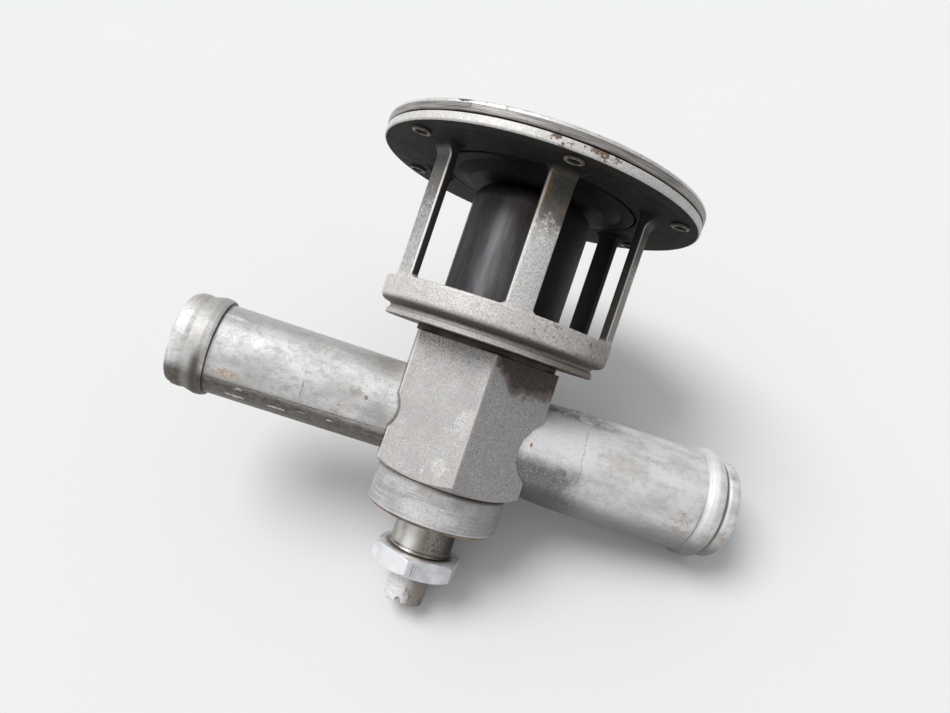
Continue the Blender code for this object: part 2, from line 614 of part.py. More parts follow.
def make_valve_cup():
    """Deep-drawn cup, open below, that lifts off the seat."""
    height = CUP_TOP - CUP_BASE
    hole = STUD_RADIUS + RUN_GAP
    shoulder, inside = CUP_SHOULDER, CUP_SHOULDER - CUP_WALL
    profile = [(hole, height)]
    profile += arc(CUP_RADIUS - shoulder, height - shoulder, shoulder, 90, 0, 4)
    profile += [(CUP_RADIUS, 0.15 * MM), (CUP_RADIUS - 0.15 * MM, 0), (CUP_RADIUS - CUP_WALL, 0)]
    profile += arc(CUP_RADIUS - shoulder, height - shoulder, inside, 0, 90, 3)
    profile += [(hole, height - CUP_WALL)]
    cup = turned("valve_cup", profile, MEDIUM)
    return finish(cup, DARK_ALUMINIUM, VALVE_AXIS)


def make_lift_stud():
    """Countersunk stud that clamps plates, rubber and cup, with an eye for the spring's hook."""
    length = STUD_LENGTH
    stud = solid_turned("lift_stud", [
        (0, length), (STUD_HEAD_RADIUS, length), (STUD_RADIUS, length - STUD_HEAD_DEPTH),
        (STUD_RADIUS, 0.3 * MM), (STUD_RADIUS - 0.3 * MM, 0), (0, 0)], SMALL)
    place(stud, STUD_END, VALVE_AXIS)
    eye = solid_turned("stud_eye", [
        (0, 2 * STUD_RADIUS), (STUD_EYE_RADIUS, 2 * STUD_RADIUS),
        (STUD_EYE_RADIUS, -2 * STUD_RADIUS), (0, -2 * STUD_RADIUS)], TINY, CUTTERS)
    eye.location.z = STUD_EYE
    eye.rotation_euler.x = math.pi / 2
    boolean(stud, "DIFFERENCE", eye)
    return finish(stud, ZINC_STEEL, VALVE_AXIS)


def make_hex_nut(name, across_flats, height, bore, look, parent, bottom, turn=0):
    """A hexagon nut with 30 degree chamfers on both faces."""
    apothem = across_flats / 2
    face = apothem - 0.1 * MM
    reach = across_flats
    slope = (reach - face) * math.tan(math.radians(30))
    middle = height / 2
    crown = min(slope, middle)
    wide = face + crown / math.tan(math.radians(30))
    nut = turned(name, [
        (bore, height), (face, height), (wide, height - crown), (wide, crown),
        (face, 0), (bore, 0)] if crown < middle else [
        (bore, height), (face, height), (wide, middle), (face, 0), (bore, 0)], SMALL)
    bar = hexagon(name + "_bar", apothem, bottom - OVERCUT, bottom + height + OVERCUT)
    bar.rotation_euler.z += turn
    boolean(nut, "INTERSECT", bar)
    place(nut, bottom, parent)
    return finish(nut, look, parent)


def make_seat_ring():
    """Rubber ring in the neck's groove, on which the cup's rim closes."""
    ring = turned("seat_ring", [
        (SEAT_INNER, SEAT_RING_THICKNESS), (SEAT_OUTER, SEAT_RING_THICKNESS),
        (SEAT_OUTER, 0), (SEAT_INNER, 0)], MEDIUM)
    place(ring, SEAT_BASE)
    return finish(ring, RUBBER)


def make_cage_gasket():
    """Flat ring between the hexagon's top and the cage's foot."""
    ring = turned("cage_gasket", [
        (NECK_RADIUS + RUN_GAP, CAGE_GASKET_THICKNESS), (HEX_APOTHEM + 0.5 * MM, CAGE_GASKET_THICKNESS),
        (HEX_APOTHEM + 0.5 * MM, 0), (NECK_RADIUS + RUN_GAP, 0)], MEDIUM)
    place(ring, HEX_TOP + SEAT_GAP)
    return finish(ring, RUBBER)


def make_rivets():
    """Six semi-tubular rivets, headed on the cover and rolled over under the flange."""
    head = COVER_TOP + SEAT_GAP
    flare = FLANGE_UNDER - SEAT_GAP
    end = flare - RIVET_FLARE_HEIGHT
    hollow = end + RIVET_HOLLOW_DEPTH
    for i, spot in enumerate(rivet_places()):
        rivet = solid_turned(f"cover_rivet_{i + 1}", [
            (0, head + RIVET_HEAD_HEIGHT), (RIVET_HEAD_RADIUS / 2, head + RIVET_HEAD_HEIGHT * 0.86),
            (RIVET_HEAD_RADIUS, head), (RIVET_RADIUS, head), (RIVET_RADIUS, flare),
            (RIVET_FLARE_RADIUS, flare), (RIVET_FLARE_RADIUS, flare - RIVET_FLARE_HEIGHT / 2),
            (RIVET_HOLLOW_RADIUS + 0.4 * MM, end), (RIVET_HOLLOW_RADIUS, end + 0.1 * MM),
            (RIVET_HOLLOW_RADIUS, hollow), (0, hollow)], TINY)
        rivet.location = spot
        finish(rivet, ZINC_STEEL)


def spring_path():
    """Points of the pull spring: lower hook, close coils and upper hook."""
    low_loop = ANCHOR_PIN_RADIUS + WIRE_RADIUS + HOOK_CLEARANCE
    high_loop = STUD_RADIUS + WIRE_RADIUS + HOOK_CLEARANCE
    first = ANCHOR_PIN + HOOK_RISE
    top_centre = STUD_EYE + (STUD_EYE_RADIUS - WIRE_RADIUS) / 2 - high_loop + 0.1 * MM
    last = top_centre - HOOK_RISE + low_loop
    turns = max(2, round((last - first) / COIL_PITCH * 4) / 4)
    path = []
    for i in range(7):
        angle = math.radians(160 + 200 * i / 6)
        path.append((low_loop * math.cos(angle), 0, ANCHOR_PIN + low_loop * math.sin(angle)))
    blend = 4
    for i in range(1, blend):
        share = i / blend
        radius = low_loop + (COIL_RADIUS - low_loop) * share
        path.append((radius, 0, ANCHOR_PIN + (first - ANCHOR_PIN) * share))
    per_turn = 8
    count = round(turns * per_turn)
    for i in range(count + 1):
        angle = math.tau * i / per_turn
        path.append((COIL_RADIUS * math.cos(angle), COIL_RADIUS * math.sin(angle),
                     first + (last - first) * i / count))
    angle = math.tau * count / per_turn
    for i in range(1, blend):
        share = i / blend
        radius = COIL_RADIUS + (high_loop - COIL_RADIUS) * share
        turn = angle + (math.pi / 2 - angle % math.tau) % math.tau * share
        path.append((radius * math.cos(turn), radius * math.sin(turn),
                     last + (top_centre - last) * share))
    for i in range(9):
        angle = math.radians(250 * i / 8)
        path.append((0, high_loop * math.cos(angle), top_centre + high_loop * math.sin(angle)))
    return path


def make_regulating_spring():
    """Pull spring of round wire with a hook at each end."""
    curve = bpy.data.curves.new("regulating_spring", "CURVE")
    curve.dimensions = "3D"
    curve.bevel_depth = WIRE_RADIUS
    curve.bevel_resolution = 2
    curve.use_fill_caps = True
    line = curve.splines.new("POLY")
    path = spring_path()
    line.points.add(len(path) - 1)
    for point, place_at in zip(line.points, path):
        point.co = (*place_at, 1)
    spring = bpy.data.objects.new("regulating_spring", curve)
    PARTS.objects.link(spring)
    return finish(spring, SPRING_STEEL)


def make_end_cap():
    """Turned collar that closes the body, with a hollow threaded spigot."""
    seal_middle = (CAP_SPIGOT_RADIUS + COLLAR_RADIUS) / 2
    half = CAP_SEAL_RADIUS + RUN_GAP / 2
    floor = COLLAR_TOP - 2 * CAP_SEAL_RADIUS + SEAT_GAP / 2 - RUN_GAP
    hole = SHANK_RADIUS + RUN_GAP
    profile = [(CAP_CAVITY, CAP_TOP), (CAP_SPIGOT_RADIUS - 0.3 * MM, CAP_TOP)]
    profile += [(CAP_SPIGOT_RADIUS, CAP_TOP - 0.3 * MM), (CAP_SPIGOT_RADIUS, COLLAR_TOP)]
    profile += [(seal_middle - half, COLLAR_TOP), (seal_middle - half, floor)]
    profile += [(seal_middle + half, floor), (seal_middle + half, COLLAR_TOP)]
    profile += [(COLLAR_RADIUS - 0.2 * MM, COLLAR_TOP), (COLLAR_RADIUS, COLLAR_TOP - 0.2 * MM)]
    profile += [(COLLAR_RADIUS, COLLAR_BOTTOM + COLLAR_CHAMFER)]
    profile += [(COLLAR_RADIUS - COLLAR_CHAMFER_WIDTH, COLLAR_BOTTOM), (hole, COLLAR_BOTTOM)]
    profile += [(hole, CAP_FLOOR), (CAP_CAVITY, CAP_FLOOR)]
    cap = turned("end_cap", profile, MEDIUM)
    return finish(cap, BAR_ALUMINIUM)


def make_o_ring(name, middle, section, height):
    """A rubber ring of round section."""
    ring = turned(name, arc(middle, 0, section, 90, -210, 5), MEDIUM)
    place(ring, height)
    return finish(ring, RUBBER)


def make_screw_bushing():
    """Bright steel bushing, screwed up into the end cap and threaded for the screw."""
    groove = SCREW_RADIUS + 2 * SCREW_SEAL_RADIUS + 1.6 * RUN_GAP
    middle = (BUSHING_SHOULDER + BUSHING_BOTTOM) / 2
    half = SCREW_SEAL_RADIUS + RUN_GAP
    bushing = turned("screw_bushing", [
        (SCREW_BORE, CAP_FLOOR), (SHANK_RADIUS, CAP_FLOOR), (SHANK_RADIUS, BUSHING_SHOULDER),
        (BUSHING_RADIUS, BUSHING_SHOULDER), (BUSHING_RADIUS, BUSHING_BOTTOM + 0.2 * MM),
        (BUSHING_RADIUS - 0.2 * MM, BUSHING_BOTTOM), (SCREW_BORE, BUSHING_BOTTOM),
        (SCREW_BORE, middle - half), (groove, middle - half), (groove, middle + half),
        (SCREW_BORE, middle + half)], MEDIUM)
    return finish(bushing, TURNED_STEEL)


def make_adjusting_screw():
    """Slotted screw that turns in the bushing and pulls the anchor by its head."""
    shoulder = SCREW_SHOULDER - SCREW_END
    head = SCREW_HEAD - SCREW_END
    screw = solid_turned("adjusting_screw", [
        (0, head + SCREW_HEAD_HEIGHT), (SCREW_HEAD_RADIUS - 0.5 * MM, head + SCREW_HEAD_HEIGHT),
        (SCREW_HEAD_RADIUS, head + SCREW_HEAD_HEIGHT - 0.5 * MM), (SCREW_HEAD_RADIUS, head),
        (SCREW_JOURNAL_RADIUS, head), (SCREW_JOURNAL_RADIUS, shoulder), (SCREW_RADIUS, shoulder),
        (SCREW_RADIUS, SCREW_TIP_CHAMFER), (SCREW_RADIUS - SCREW_TIP_CHAMFER, 0), (0, 0)], SMALL)
    place(screw, SCREW_END, SCREW_AXIS)
    bpy.ops.mesh.primitive_cube_add(size=1, location=(0, 0, SCREW_END))
    slot = bpy.context.object
    slot.name = "screw_slot"
    slot.scale = (SCREW_SLOT_WIDTH, 4 * SCREW_RADIUS, 2 * SCREW_SLOT_DEPTH)
    slot.rotation_euler.z = SCREW_SLOT_TURN
    for owner in list(slot.users_collection):
        owner.objects.unlink(slot)
    CUTTERS.objects.link(slot)
    boolean(screw, "DIFFERENCE", slot)
    return finish(screw, ZINC_STEEL, SCREW_AXIS)


def make_spring_anchor():
    """Sliding cup that the screw's head pulls on, cross-drilled for the hook's pin."""
    hole = SCREW_JOURNAL_RADIUS + RUN_GAP
    inner = ANCHOR_RADIUS - ANCHOR_WALL
    anchor = turned("spring_anchor", [
        (inner, ANCHOR_HEIGHT), (ANCHOR_RADIUS - 0.2 * MM, ANCHOR_HEIGHT),
        (ANCHOR_RADIUS, ANCHOR_HEIGHT - 0.2 * MM), (ANCHOR_RADIUS, 0), (hole, 0),
        (hole, ANCHOR_FLOOR), (inner, ANCHOR_FLOOR)], MEDIUM)
    drill = ANCHOR_PIN_RADIUS + RUN_GAP / 2
    across = solid_turned("anchor_drill", [
        (0, 2 * ANCHOR_RADIUS), (drill, 2 * ANCHOR_RADIUS), (drill, -2 * ANCHOR_RADIUS),
        (0, -2 * ANCHOR_RADIUS)], TINY, CUTTERS)
    across.rotation_euler.x = math.pi / 2
    across.location.z = ANCHOR_PIN
    boolean(anchor, "DIFFERENCE", across)
    return finish(anchor, BAR_ALUMINIUM, CARRIAGE_AXIS)


def make_anchor_pin():
    """Cross pin that the spring's lower hook goes round."""
    half = ANCHOR_RADIUS - 0.2 * MM
    pin = solid_turned("anchor_pin", [
        (0, half), (ANCHOR_PIN_RADIUS, half), (ANCHOR_PIN_RADIUS, -half), (0, -half)], TINY)
    pin.rotation_euler.x = math.pi / 2
    place(pin, ANCHOR_PIN, CARRIAGE_AXIS)
    return finish(pin, TURNED_STEEL, CARRIAGE_AXIS)


make_valve_body()
make_nipple("inlet_nipple", -1, INLET_RADIUS, INLET_WALL, INLET_REACH, inlet_end, [])
make_nipple("outlet_nipple", 1, OUTLET_RADIUS, OUTLET_WALL, OUTLET_REACH, outlet_end,
            drawn_root(OUTLET_RADIUS))
make_cage_gasket()
make_cage()
make_cover_plate()
make_rivets()
make_diaphragm()
make_lower_plate()
make_upper_plate()
make_valve_cup()
make_seat_ring()
make_lift_stud()
make_hex_nut("lift_nut", STUD_NUT_ACROSS_FLATS, STUD_NUT_HEIGHT, STUD_RADIUS + RUN_GAP, ZINC_STEEL,
             VALVE_AXIS, CUP_TOP - CUP_WALL - SEAT_GAP - STUD_NUT_HEIGHT)
make_regulating_spring()
make_end_cap()
make_o_ring("end_cap_o_ring", (CAP_SPIGOT_RADIUS + COLLAR_RADIUS) / 2, CAP_SEAL_RADIUS,
            COLLAR_TOP - CAP_SEAL_RADIUS + SEAT_GAP / 2)
make_screw_bushing()
make_o_ring("screw_o_ring", SCREW_RADIUS + SCREW_SEAL_RADIUS + 0.8 * RUN_GAP, SCREW_SEAL_RADIUS,
            (BUSHING_SHOULDER + BUSHING_BOTTOM) / 2)
make_spring_anchor()
make_anchor_pin()
make_adjusting_screw()
make_hex_nut("lock_nut", LOCK_NUT_ACROSS_FLATS, LOCK_NUT_HEIGHT, SCREW_RADIUS + RUN_GAP, ZINC_STEEL,
             NUT_AXIS, LOCK_NUT_BOTTOM, LOCK_NUT_TURN)
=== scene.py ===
import bmesh
import bpy
import math
import numpy as np
from mathutils import Matrix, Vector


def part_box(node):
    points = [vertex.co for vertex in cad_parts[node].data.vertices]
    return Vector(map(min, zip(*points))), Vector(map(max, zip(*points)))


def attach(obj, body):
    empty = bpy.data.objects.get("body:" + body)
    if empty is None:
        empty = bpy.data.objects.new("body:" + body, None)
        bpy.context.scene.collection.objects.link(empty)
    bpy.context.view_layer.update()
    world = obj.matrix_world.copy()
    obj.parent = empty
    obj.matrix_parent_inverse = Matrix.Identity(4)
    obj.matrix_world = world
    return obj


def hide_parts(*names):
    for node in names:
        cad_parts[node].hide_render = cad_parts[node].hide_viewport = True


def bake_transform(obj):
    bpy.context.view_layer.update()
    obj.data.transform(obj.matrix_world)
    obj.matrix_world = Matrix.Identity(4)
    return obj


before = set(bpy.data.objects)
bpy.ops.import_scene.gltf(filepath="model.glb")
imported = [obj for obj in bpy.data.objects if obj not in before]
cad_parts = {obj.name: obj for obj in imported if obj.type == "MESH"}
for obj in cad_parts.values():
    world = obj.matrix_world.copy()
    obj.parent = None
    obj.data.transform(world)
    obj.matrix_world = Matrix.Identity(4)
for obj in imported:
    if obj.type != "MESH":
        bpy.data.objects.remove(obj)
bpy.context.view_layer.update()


# Valve body
# A length of 1 inch hexagon bar, blasted to a fine grain, with a turned chamfer at its foot and
# a threaded neck on top. It is the solid from the model with its long edges broken by handling.

MILLIMETRE = 0.001


class Wire:
    """A socket of a material's nodes. Python arithmetic on it adds the nodes that do it."""

    def __init__(self, tree, socket=None):
        self.tree = tree
        self.socket = socket

    def node(self, kind, settings, sockets, output=0):
        """Adds one node: first its settings, then the values or links of its sockets."""
        made = self.tree.nodes.new("ShaderNode" + kind)
        for name, value in settings.items():
            setattr(made, name, value)
        for name, value in sockets.items():
            if isinstance(value, Wire):
                self.tree.links.new(value.socket, made.inputs[name])
            else:
                made.inputs[name].default_value = value
        return Wire(self.tree, made.outputs[output])

    def sum_of(self, operation, first, second):
        return self.node("Math", {"operation": operation}, {0: first, 1: second})

    def __add__(self, other):
        return self.sum_of("ADD", self, other)

    __radd__ = __add__

    def __sub__(self, other):
        return self.sum_of("SUBTRACT", self, other)

    def __rsub__(self, other):
        return self.sum_of("SUBTRACT", other, self)

    def __mul__(self, other):
        return self.sum_of("MULTIPLY", self, other)

    __rmul__ = __mul__

    def __pow__(self, other):
        return self.sum_of("POWER", self, other)

    def most(self, other):
        return self.sum_of("MAXIMUM", self, other)

    def size(self):
        return self.node("Math", {"operation": "ABSOLUTE"}, {0: self})

    def ramp(self, low, high):
        """0 below low and 1 above high, with a smooth step between. low may be the larger one."""
        if low > high:
            return 1 - self.ramp(high, low)
        return self.node("MapRange", {"interpolation_type": "SMOOTHSTEP"},
                         {"Value": self, "From Min": low, "From Max": high})

    def between(self, low, high, soft):
        """1 from low to high, falling to 0 within soft on both sides."""
        return self.ramp(low - soft, low + soft) * self.ramp(high + soft, high - soft)

    def paint(self, under, over):
        """The colour under, covered by the colour over as far as this mask says."""
        under, over = [c if isinstance(c, Wire) else (*c, 1.0) for c in (under, over)]
        return self.node("Mix", {"data_type": "RGBA"}, {0: self, 6: under, 7: over}, 2)


class Finish:
    """One material: its shader, the surface's place in millimetres, and patterns to paint with."""

    def __init__(self, name, metallic, roughness, gloss=0.5):
        self.material = bpy.data.materials.new(name)
        self.material.use_nodes = True
        self.tree = self.material.node_tree
        self.shader = self.tree.nodes["Principled BSDF"]
        self.shader.inputs["Metallic"].default_value = metallic
        self.shader.inputs["Roughness"].default_value = roughness
        self.shader.inputs["Specular IOR Level"].default_value = gloss
        start = Wire(self.tree)
        place = start.node("TexCoord", {}, {}, 3)
        self.mm = start.node("VectorMath", {"operation": "SCALE"},
                             {0: place, "Scale": 1 / MILLIMETRE})
        self.x, self.y, self.z = [self.mm.node("SeparateXYZ", {}, {0: self.mm}, axis)
                                  for axis in range(3)]
        self.radius = (self.x * self.x + self.y * self.y) ** 0.5
        self.colour = None

    def noise(self, size, detail=2.0, rough=0.5, stretch=(1, 1, 1), shift=0.0):
        """Noise from 0 to 1 in clouds of about size millimetres, stretched along the axes."""
        scale = [1 / (size * s) for s in stretch]
        at = self.mm.node("VectorMath", {"operation": "MULTIPLY_ADD"},
                          {0: self.mm, 1: scale, 2: (shift, shift * 1.7, -shift)})
        return self.mm.node("TexNoise", {}, {"Vector": at, "Scale": 1.0, "Detail": detail,
                                             "Roughness": rough})

    def away(self, point):
        """Distance in millimetres from a point."""
        return self.mm.node("VectorMath", {"operation": "DISTANCE"}, {0: self.mm, 1: point}, 1)

    def patch(self, point, size, edge, ragged):
        """1 inside an ellipsoid of these half sizes, its outline moved in and out by a noise."""
        local = self.mm.node("VectorMath", {"operation": "MULTIPLY_ADD"},
                             {0: self.mm, 1: [1 / s for s in size],
                              2: [-p / s for p, s in zip(point, size)]})
        reach = local.node("VectorMath", {"operation": "LENGTH"}, {0: local}, 1)
        return (reach + (edge - 0.5) * ragged).ramp(1.2, 0.75)

    def patches(self, edge, *rows):
        """The strongest of some patches: each a point, half sizes, raggedness and strength."""
        masks = [self.patch(point, size, edge, ragged) * strength
                 for point, size, ragged, strength in rows]
        strongest = masks[0]
        for mask in masks[1:]:
            strongest = strongest.most(mask)
        return strongest

    def beside(self, count):
        """Millimetres round the axis from the nearest of count pillars, + to +angle."""
        angle = self.y.sum_of("ARCTAN2", self.y, self.x)
        turn = angle.sum_of("FLOORED_MODULO", angle, math.tau / count)
        return (turn - math.pi / count) * self.radius

    def ground(self, mask, dark, pale):
        """The bare surface: from its dark to its pale colour as the mask rises."""
        self.colour = mask.paint(dark, pale)

    def coat(self, mask, colour):
        """Covers the surface so far with one more colour, as far as the mask says."""
        self.colour = mask.paint(self.colour, colour)

    def finish(self, roughness=None, height=None, metal=None):
        """Links the colour, roughness and metal, and a height in millimetres as bump."""
        bump = height and height.node("Bump", {}, {"Strength": 1.0, "Distance": MILLIMETRE,
                                                   "Height": height})
        for name, wire in (("Base Color", self.colour), ("Roughness", roughness),
                           ("Metallic", metal), ("Normal", bump)):
            if wire:
                self.tree.links.new(wire.socket, self.shader.inputs[name])
        return self.material


def blasted_body():
    """Warm grey grain stained brown under the cage, edges pale from rubbing; painted shade makes
    the right face darker and cooler and darkens the tops and the bore, and a painted highlight
    runs on the corners.
    """
    look = Finish("blasted_hexagon_bar", 0.3, 0.55, 0.3)
    grain = look.noise(0.21, 3, 0.7)
    flecks = look.noise(0.33, 3, 0.65, shift=11)
    cloud = look.noise(4.5, 3, 0.5, shift=4)
    edge = look.noise(1.8, 4, 0.65, shift=7)
    look.ground(grain.ramp(0.34, 0.66), (0.44, 0.425, 0.42), (0.71, 0.69, 0.675))
    look.coat(cloud.ramp(0.40, 0.66) * 0.45, (0.44, 0.42, 0.43))
    warm = look.noise(1.1, 3, 0.6, shift=28).ramp(0.50, 0.68)
    look.coat(warm * 0.35, (0.56, 0.50, 0.44))
    # Painted shadow of the cage on the tops of the faces, mixed with dark specks.
    upper = look.z.ramp(10.5, 14.2) * warm.most(flecks.ramp(0.40, 0.60))
    look.coat(upper * 0.5, (0.24, 0.21, 0.19))
    # The right face painted darker and bluer: painted shade with a cooler tone.
    right = look.x.ramp(0.1, 0.7) * look.y.ramp(0.0, -1.0)
    shaded_cool_grain = grain.ramp(0.38, 0.62).paint((0.23, 0.23, 0.24), (0.56, 0.56, 0.575))
    look.coat(right * 0.65, shaded_cool_grain)
    specks = flecks.ramp(0.54, 0.68) * (look.z.ramp(4.0, 13.5) * 0.75 + 0.2)
    look.coat(specks * 0.85, (0.20, 0.17, 0.16))
    # A brown stain on the right face under the cage, darkened further as the cage's painted
    # shadow.
    slope = (13.8 - look.x).most(look.x * 0.12 + 8.4)
    stain = (look.z - slope + (edge - 0.5) * 4.0).ramp(-1.0, 1.5) * right
    look.coat(stain * 0.92,
              grain.ramp(0.35, 0.65).paint((0.026, 0.020, 0.016), (0.105, 0.085, 0.068)))
    border = stain * (1 - stain) * 2.4
    look.coat(border, (0.17, 0.125, 0.095))
    rust = look.patch((1.0, -13.9, 12.7), (0.32, 1.0, 0.38), flecks, 2.5)
    look.coat(rust * 0.75, (0.16, 0.075, 0.035))
    pale_patch = look.patch((-1.7, -13.7, 2.4), (1.5, 1.6, 3.4), edge, 3.0)
    marks = look.patches(edge, ((-5.2, -11.7, -7.6), (0.25, 0.5, 0.7), 1.0, 1.0),
                         ((-2.9, -13.0, -6.0), (1.7, 1.2, 1.2), 3.2, 0.7))
    rubs = (pale_patch * 0.5).most(marks * 0.9) * grain.ramp(0.40, 0.56)
    look.coat(rubs, (0.90, 0.88, 0.86))
    # A painted highlight along the hexagon's corners, broken like the wear on them.
    corner = look.radius.ramp(14.53, 14.60)
    worn = corner * look.noise(1.4, 3, 0.6, (1, 1, 3)).ramp(0.34, 0.56)
    worn = worn * (look.x.ramp(9.0, 5.0) * 0.7 + 0.3)
    front = look.x.size().ramp(1.2, 0.6) * look.y.ramp(0.0, -4.0)
    look.coat(worn * 0.85, front.paint((0.86, 0.83, 0.78), (0.70, 0.64, 0.57)))
    side = look.x.ramp(-12.55, -12.68) * look.y.ramp(3.0, -6.0)
    look.coat(side * 0.7, (0.84, 0.80, 0.75))
    foot = look.z.ramp(-9.15, -9.45) * look.radius.ramp(12.2, 12.5)
    look.coat(foot * 0.6, (0.50, 0.42, 0.34))
    # Painted shade inside the bore.
    bore_shade = look.radius.ramp(8.4, 8.2)
    look.coat(bore_shade * 0.75, (0.10, 0.095, 0.085))
    rough = (cloud - 0.5) * 0.2 + 0.55 - worn * 0.15
    height = grain * 0.05 + look.noise(1.2, 2) * 0.05 - specks * 0.03
    return look.finish(rough, height)


def placed(name, data):
    """A new object in the scene, at the origin."""
    made = bpy.data.objects.new(name, data)
    bpy.context.scene.collection.objects.link(made)
    return made


def edge_broken_copy(node, name, width, chosen):
    """A copy of a solid, its triangles merged to flat faces and its chosen edges rounded off."""
    piece = placed(name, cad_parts[node].data.copy())
    shape = bmesh.new()
    shape.from_mesh(piece.data)
    bmesh.ops.remove_doubles(shape, verts=shape.verts, dist=MILLIMETRE / 500)
    bmesh.ops.dissolve_limit(shape, angle_limit=math.radians(0.6), verts=shape.verts,
                             edges=shape.edges)
    weights = shape.edges.layers.float.new("bevel_weight_edge")
    for edge in shape.edges:
        ends = [vertex.co / MILLIMETRE for vertex in edge.verts]
        if edge.is_manifold and edge.calc_face_angle() > math.radians(25) and chosen(*ends):
            edge[weights] = 1.0
    shape.to_mesh(piece.data)
    shape.free()
    piece.data.materials.clear()
    piece.data.shade_smooth()
    piece.data.set_sharp_from_angle(angle=math.radians(28))
    rounding = piece.modifiers.new("broken_edges", "BEVEL")
    rounding.limit_method = "WEIGHT"
    rounding.width = width
    rounding.segments = 3
    rounding.harden_normals = True
    return piece


HALF_FLATS = 12.7
BAR_CORNER = 14.4
BAR_TOP = 13.9
BAR_FOOT = -8.0
EDGE_BREAK = 0.12 * MILLIMETRE


def on_bar_outside(first, second):
    """True for the bar's long edges and for its outline at top and foot, not for the sockets."""
    nearest = min(math.hypot(first.x, first.y), math.hypot(second.x, second.y))
    highest = max(first.z, second.z)
    outline = nearest > HALF_FLATS - 0.1 and abs(first.z - second.z) < 1.6 and highest > BAR_TOP
    foot = nearest > HALF_FLATS - 0.3 and highest < BAR_FOOT
    return nearest > BAR_CORNER or outline or foot


hexagon_body = edge_broken_copy("valve_body", "hexagon_body", EDGE_BREAK, on_bar_outside)
hexagon_body.data.materials.append(blasted_body())
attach(hexagon_body, "valve")
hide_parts("valve_body")


# Hose nipples
# Two drawn aluminium tubes with rolled beads, pressed into the body. The smaller one is scratched
# and brown below a fine dark seam, the brown deepened by painted shade, and the larger one is
# rubbed white and stained near the body. Both carry painted shade underneath, by the bead and in
# the bore, the smaller one also on top, and the larger one a painted shadow on top by the body and
# a painted highlight on its bead.

def rounded(corners, steps=5):
    """A closed outline of (x, y, radius) corners, each replaced by an arc of that radius.

    The arc's centre lies on the corner's bisector, radius / sin(half angle) from the corner.
    """
    corners = np.array(corners, float)
    spot, radius = corners[:, :2], np.maximum(corners[:, 2], 0.01)
    back = np.roll(spot, 1, axis=0) - spot
    on = np.roll(spot, -1, axis=0) - spot
    back_length = np.linalg.norm(back, axis=1)
    on_length = np.linalg.norm(on, axis=1)
    back = back / back_length[:, None]
    on = on / on_length[:, None]
    half = np.arccos(np.clip((back * on).sum(1), -1, 0.9999)) / 2
    half = np.minimum(half, math.pi / 2 - 1e-4)
    reach = np.minimum(radius / np.tan(half), 0.49 * np.minimum(back_length, on_length))
    radius = reach * np.tan(half)
    bisector = back + on
    bisector /= np.maximum(np.linalg.norm(bisector, axis=1), 1e-9)[:, None]
    centre = spot + bisector * (radius / np.sin(half))[:, None]
    start = spot + back * reach[:, None] - centre
    end = spot + on * reach[:, None] - centre
    turn = math.pi - 2 * half
    share = np.linspace(0, 1, steps + 1)
    along = np.sin((1 - share) * turn[:, None]) / np.sin(turn)[:, None]
    across = np.sin(share * turn[:, None]) / np.sin(turn)[:, None]
    arcs = centre[:, None] + start[:, None] * along[..., None] + end[:, None] * across[..., None]
    lead_in = (spot + back * (reach * 1.02 + 0.008)[:, None])[:, None]
    lead_out = (spot + on * (reach * 1.02 + 0.008)[:, None])[:, None]
    return np.concatenate([lead_in, arcs, lead_out], axis=1).reshape(-1, 2)


def ring_faces(rows, columns):
    """Quads of a grid that closes on itself both ways, numbered row by row."""
    row, column = np.meshgrid(np.arange(rows), np.arange(columns), indexing="ij")
    below, beside = (row + 1) % rows, (column + 1) % columns
    quads = np.stack([row * columns + column, row * columns + beside,
                      below * columns + beside, below * columns + column], axis=-1)
    return quads.reshape(-1, 4)


def rod_faces(rows, columns):
    """Quads of a grid that closes round its columns only, with one face over each end."""
    faces = ring_faces(rows, columns)[:(rows - 1) * columns].tolist()
    faces.append(list(range(columns))[::-1])
    faces.append(list(range((rows - 1) * columns, rows * columns)))
    return faces


def skin(name, shells, look, smooth=40):
    """One piece from shells of (points in millimetres, faces), shaded smooth below an angle."""
    points, faces, first = [], [], 0
    for spots, corners in shells:
        points.append(np.asarray(spots, float).reshape(-1, 3))
        faces += [[index + first for index in face] for face in corners]
        first += len(points[-1])
    mesh = bpy.data.meshes.new(name)
    mesh.from_pydata((np.concatenate(points) * MILLIMETRE).tolist(), [], faces)
    mesh.validate()
    mesh.shade_smooth()
    mesh.set_sharp_from_angle(angle=math.radians(smooth))
    mesh.materials.append(look)
    return placed(name, mesh)


def turned(outline, sides, along=None):
    """A shell: the closed (radius, height) outline carried round the Z axis.

    along = +1 or -1 lays it along X instead, with height as the distance from the main axis.
    """
    radius, height = outline[:, 0], outline[:, 1]
    anticlockwise = (radius * np.roll(height, -1) - np.roll(radius, -1) * height).sum() > 0
    angle = np.arange(sides) * math.tau / sides
    side = radius[:, None] * np.cos(angle)
    depth = radius[:, None] * np.sin(angle)
    level = np.broadcast_to(height[:, None], side.shape)
    if along is None:
        points = np.stack([side, depth, level], axis=-1)
    else:
        points = np.stack([along * level, side, along * depth], axis=-1)
    faces = ring_faces(*side.shape)
    return points, (faces if anticlockwise else faces[:, ::-1]).tolist()


def turned_piece(name, corners, look, steps=5, sides=144, along=None):
    """One turned shell as a piece, its corners rounded in steps."""
    return skin(name, [turned(rounded(corners, steps), sides, along)], look)


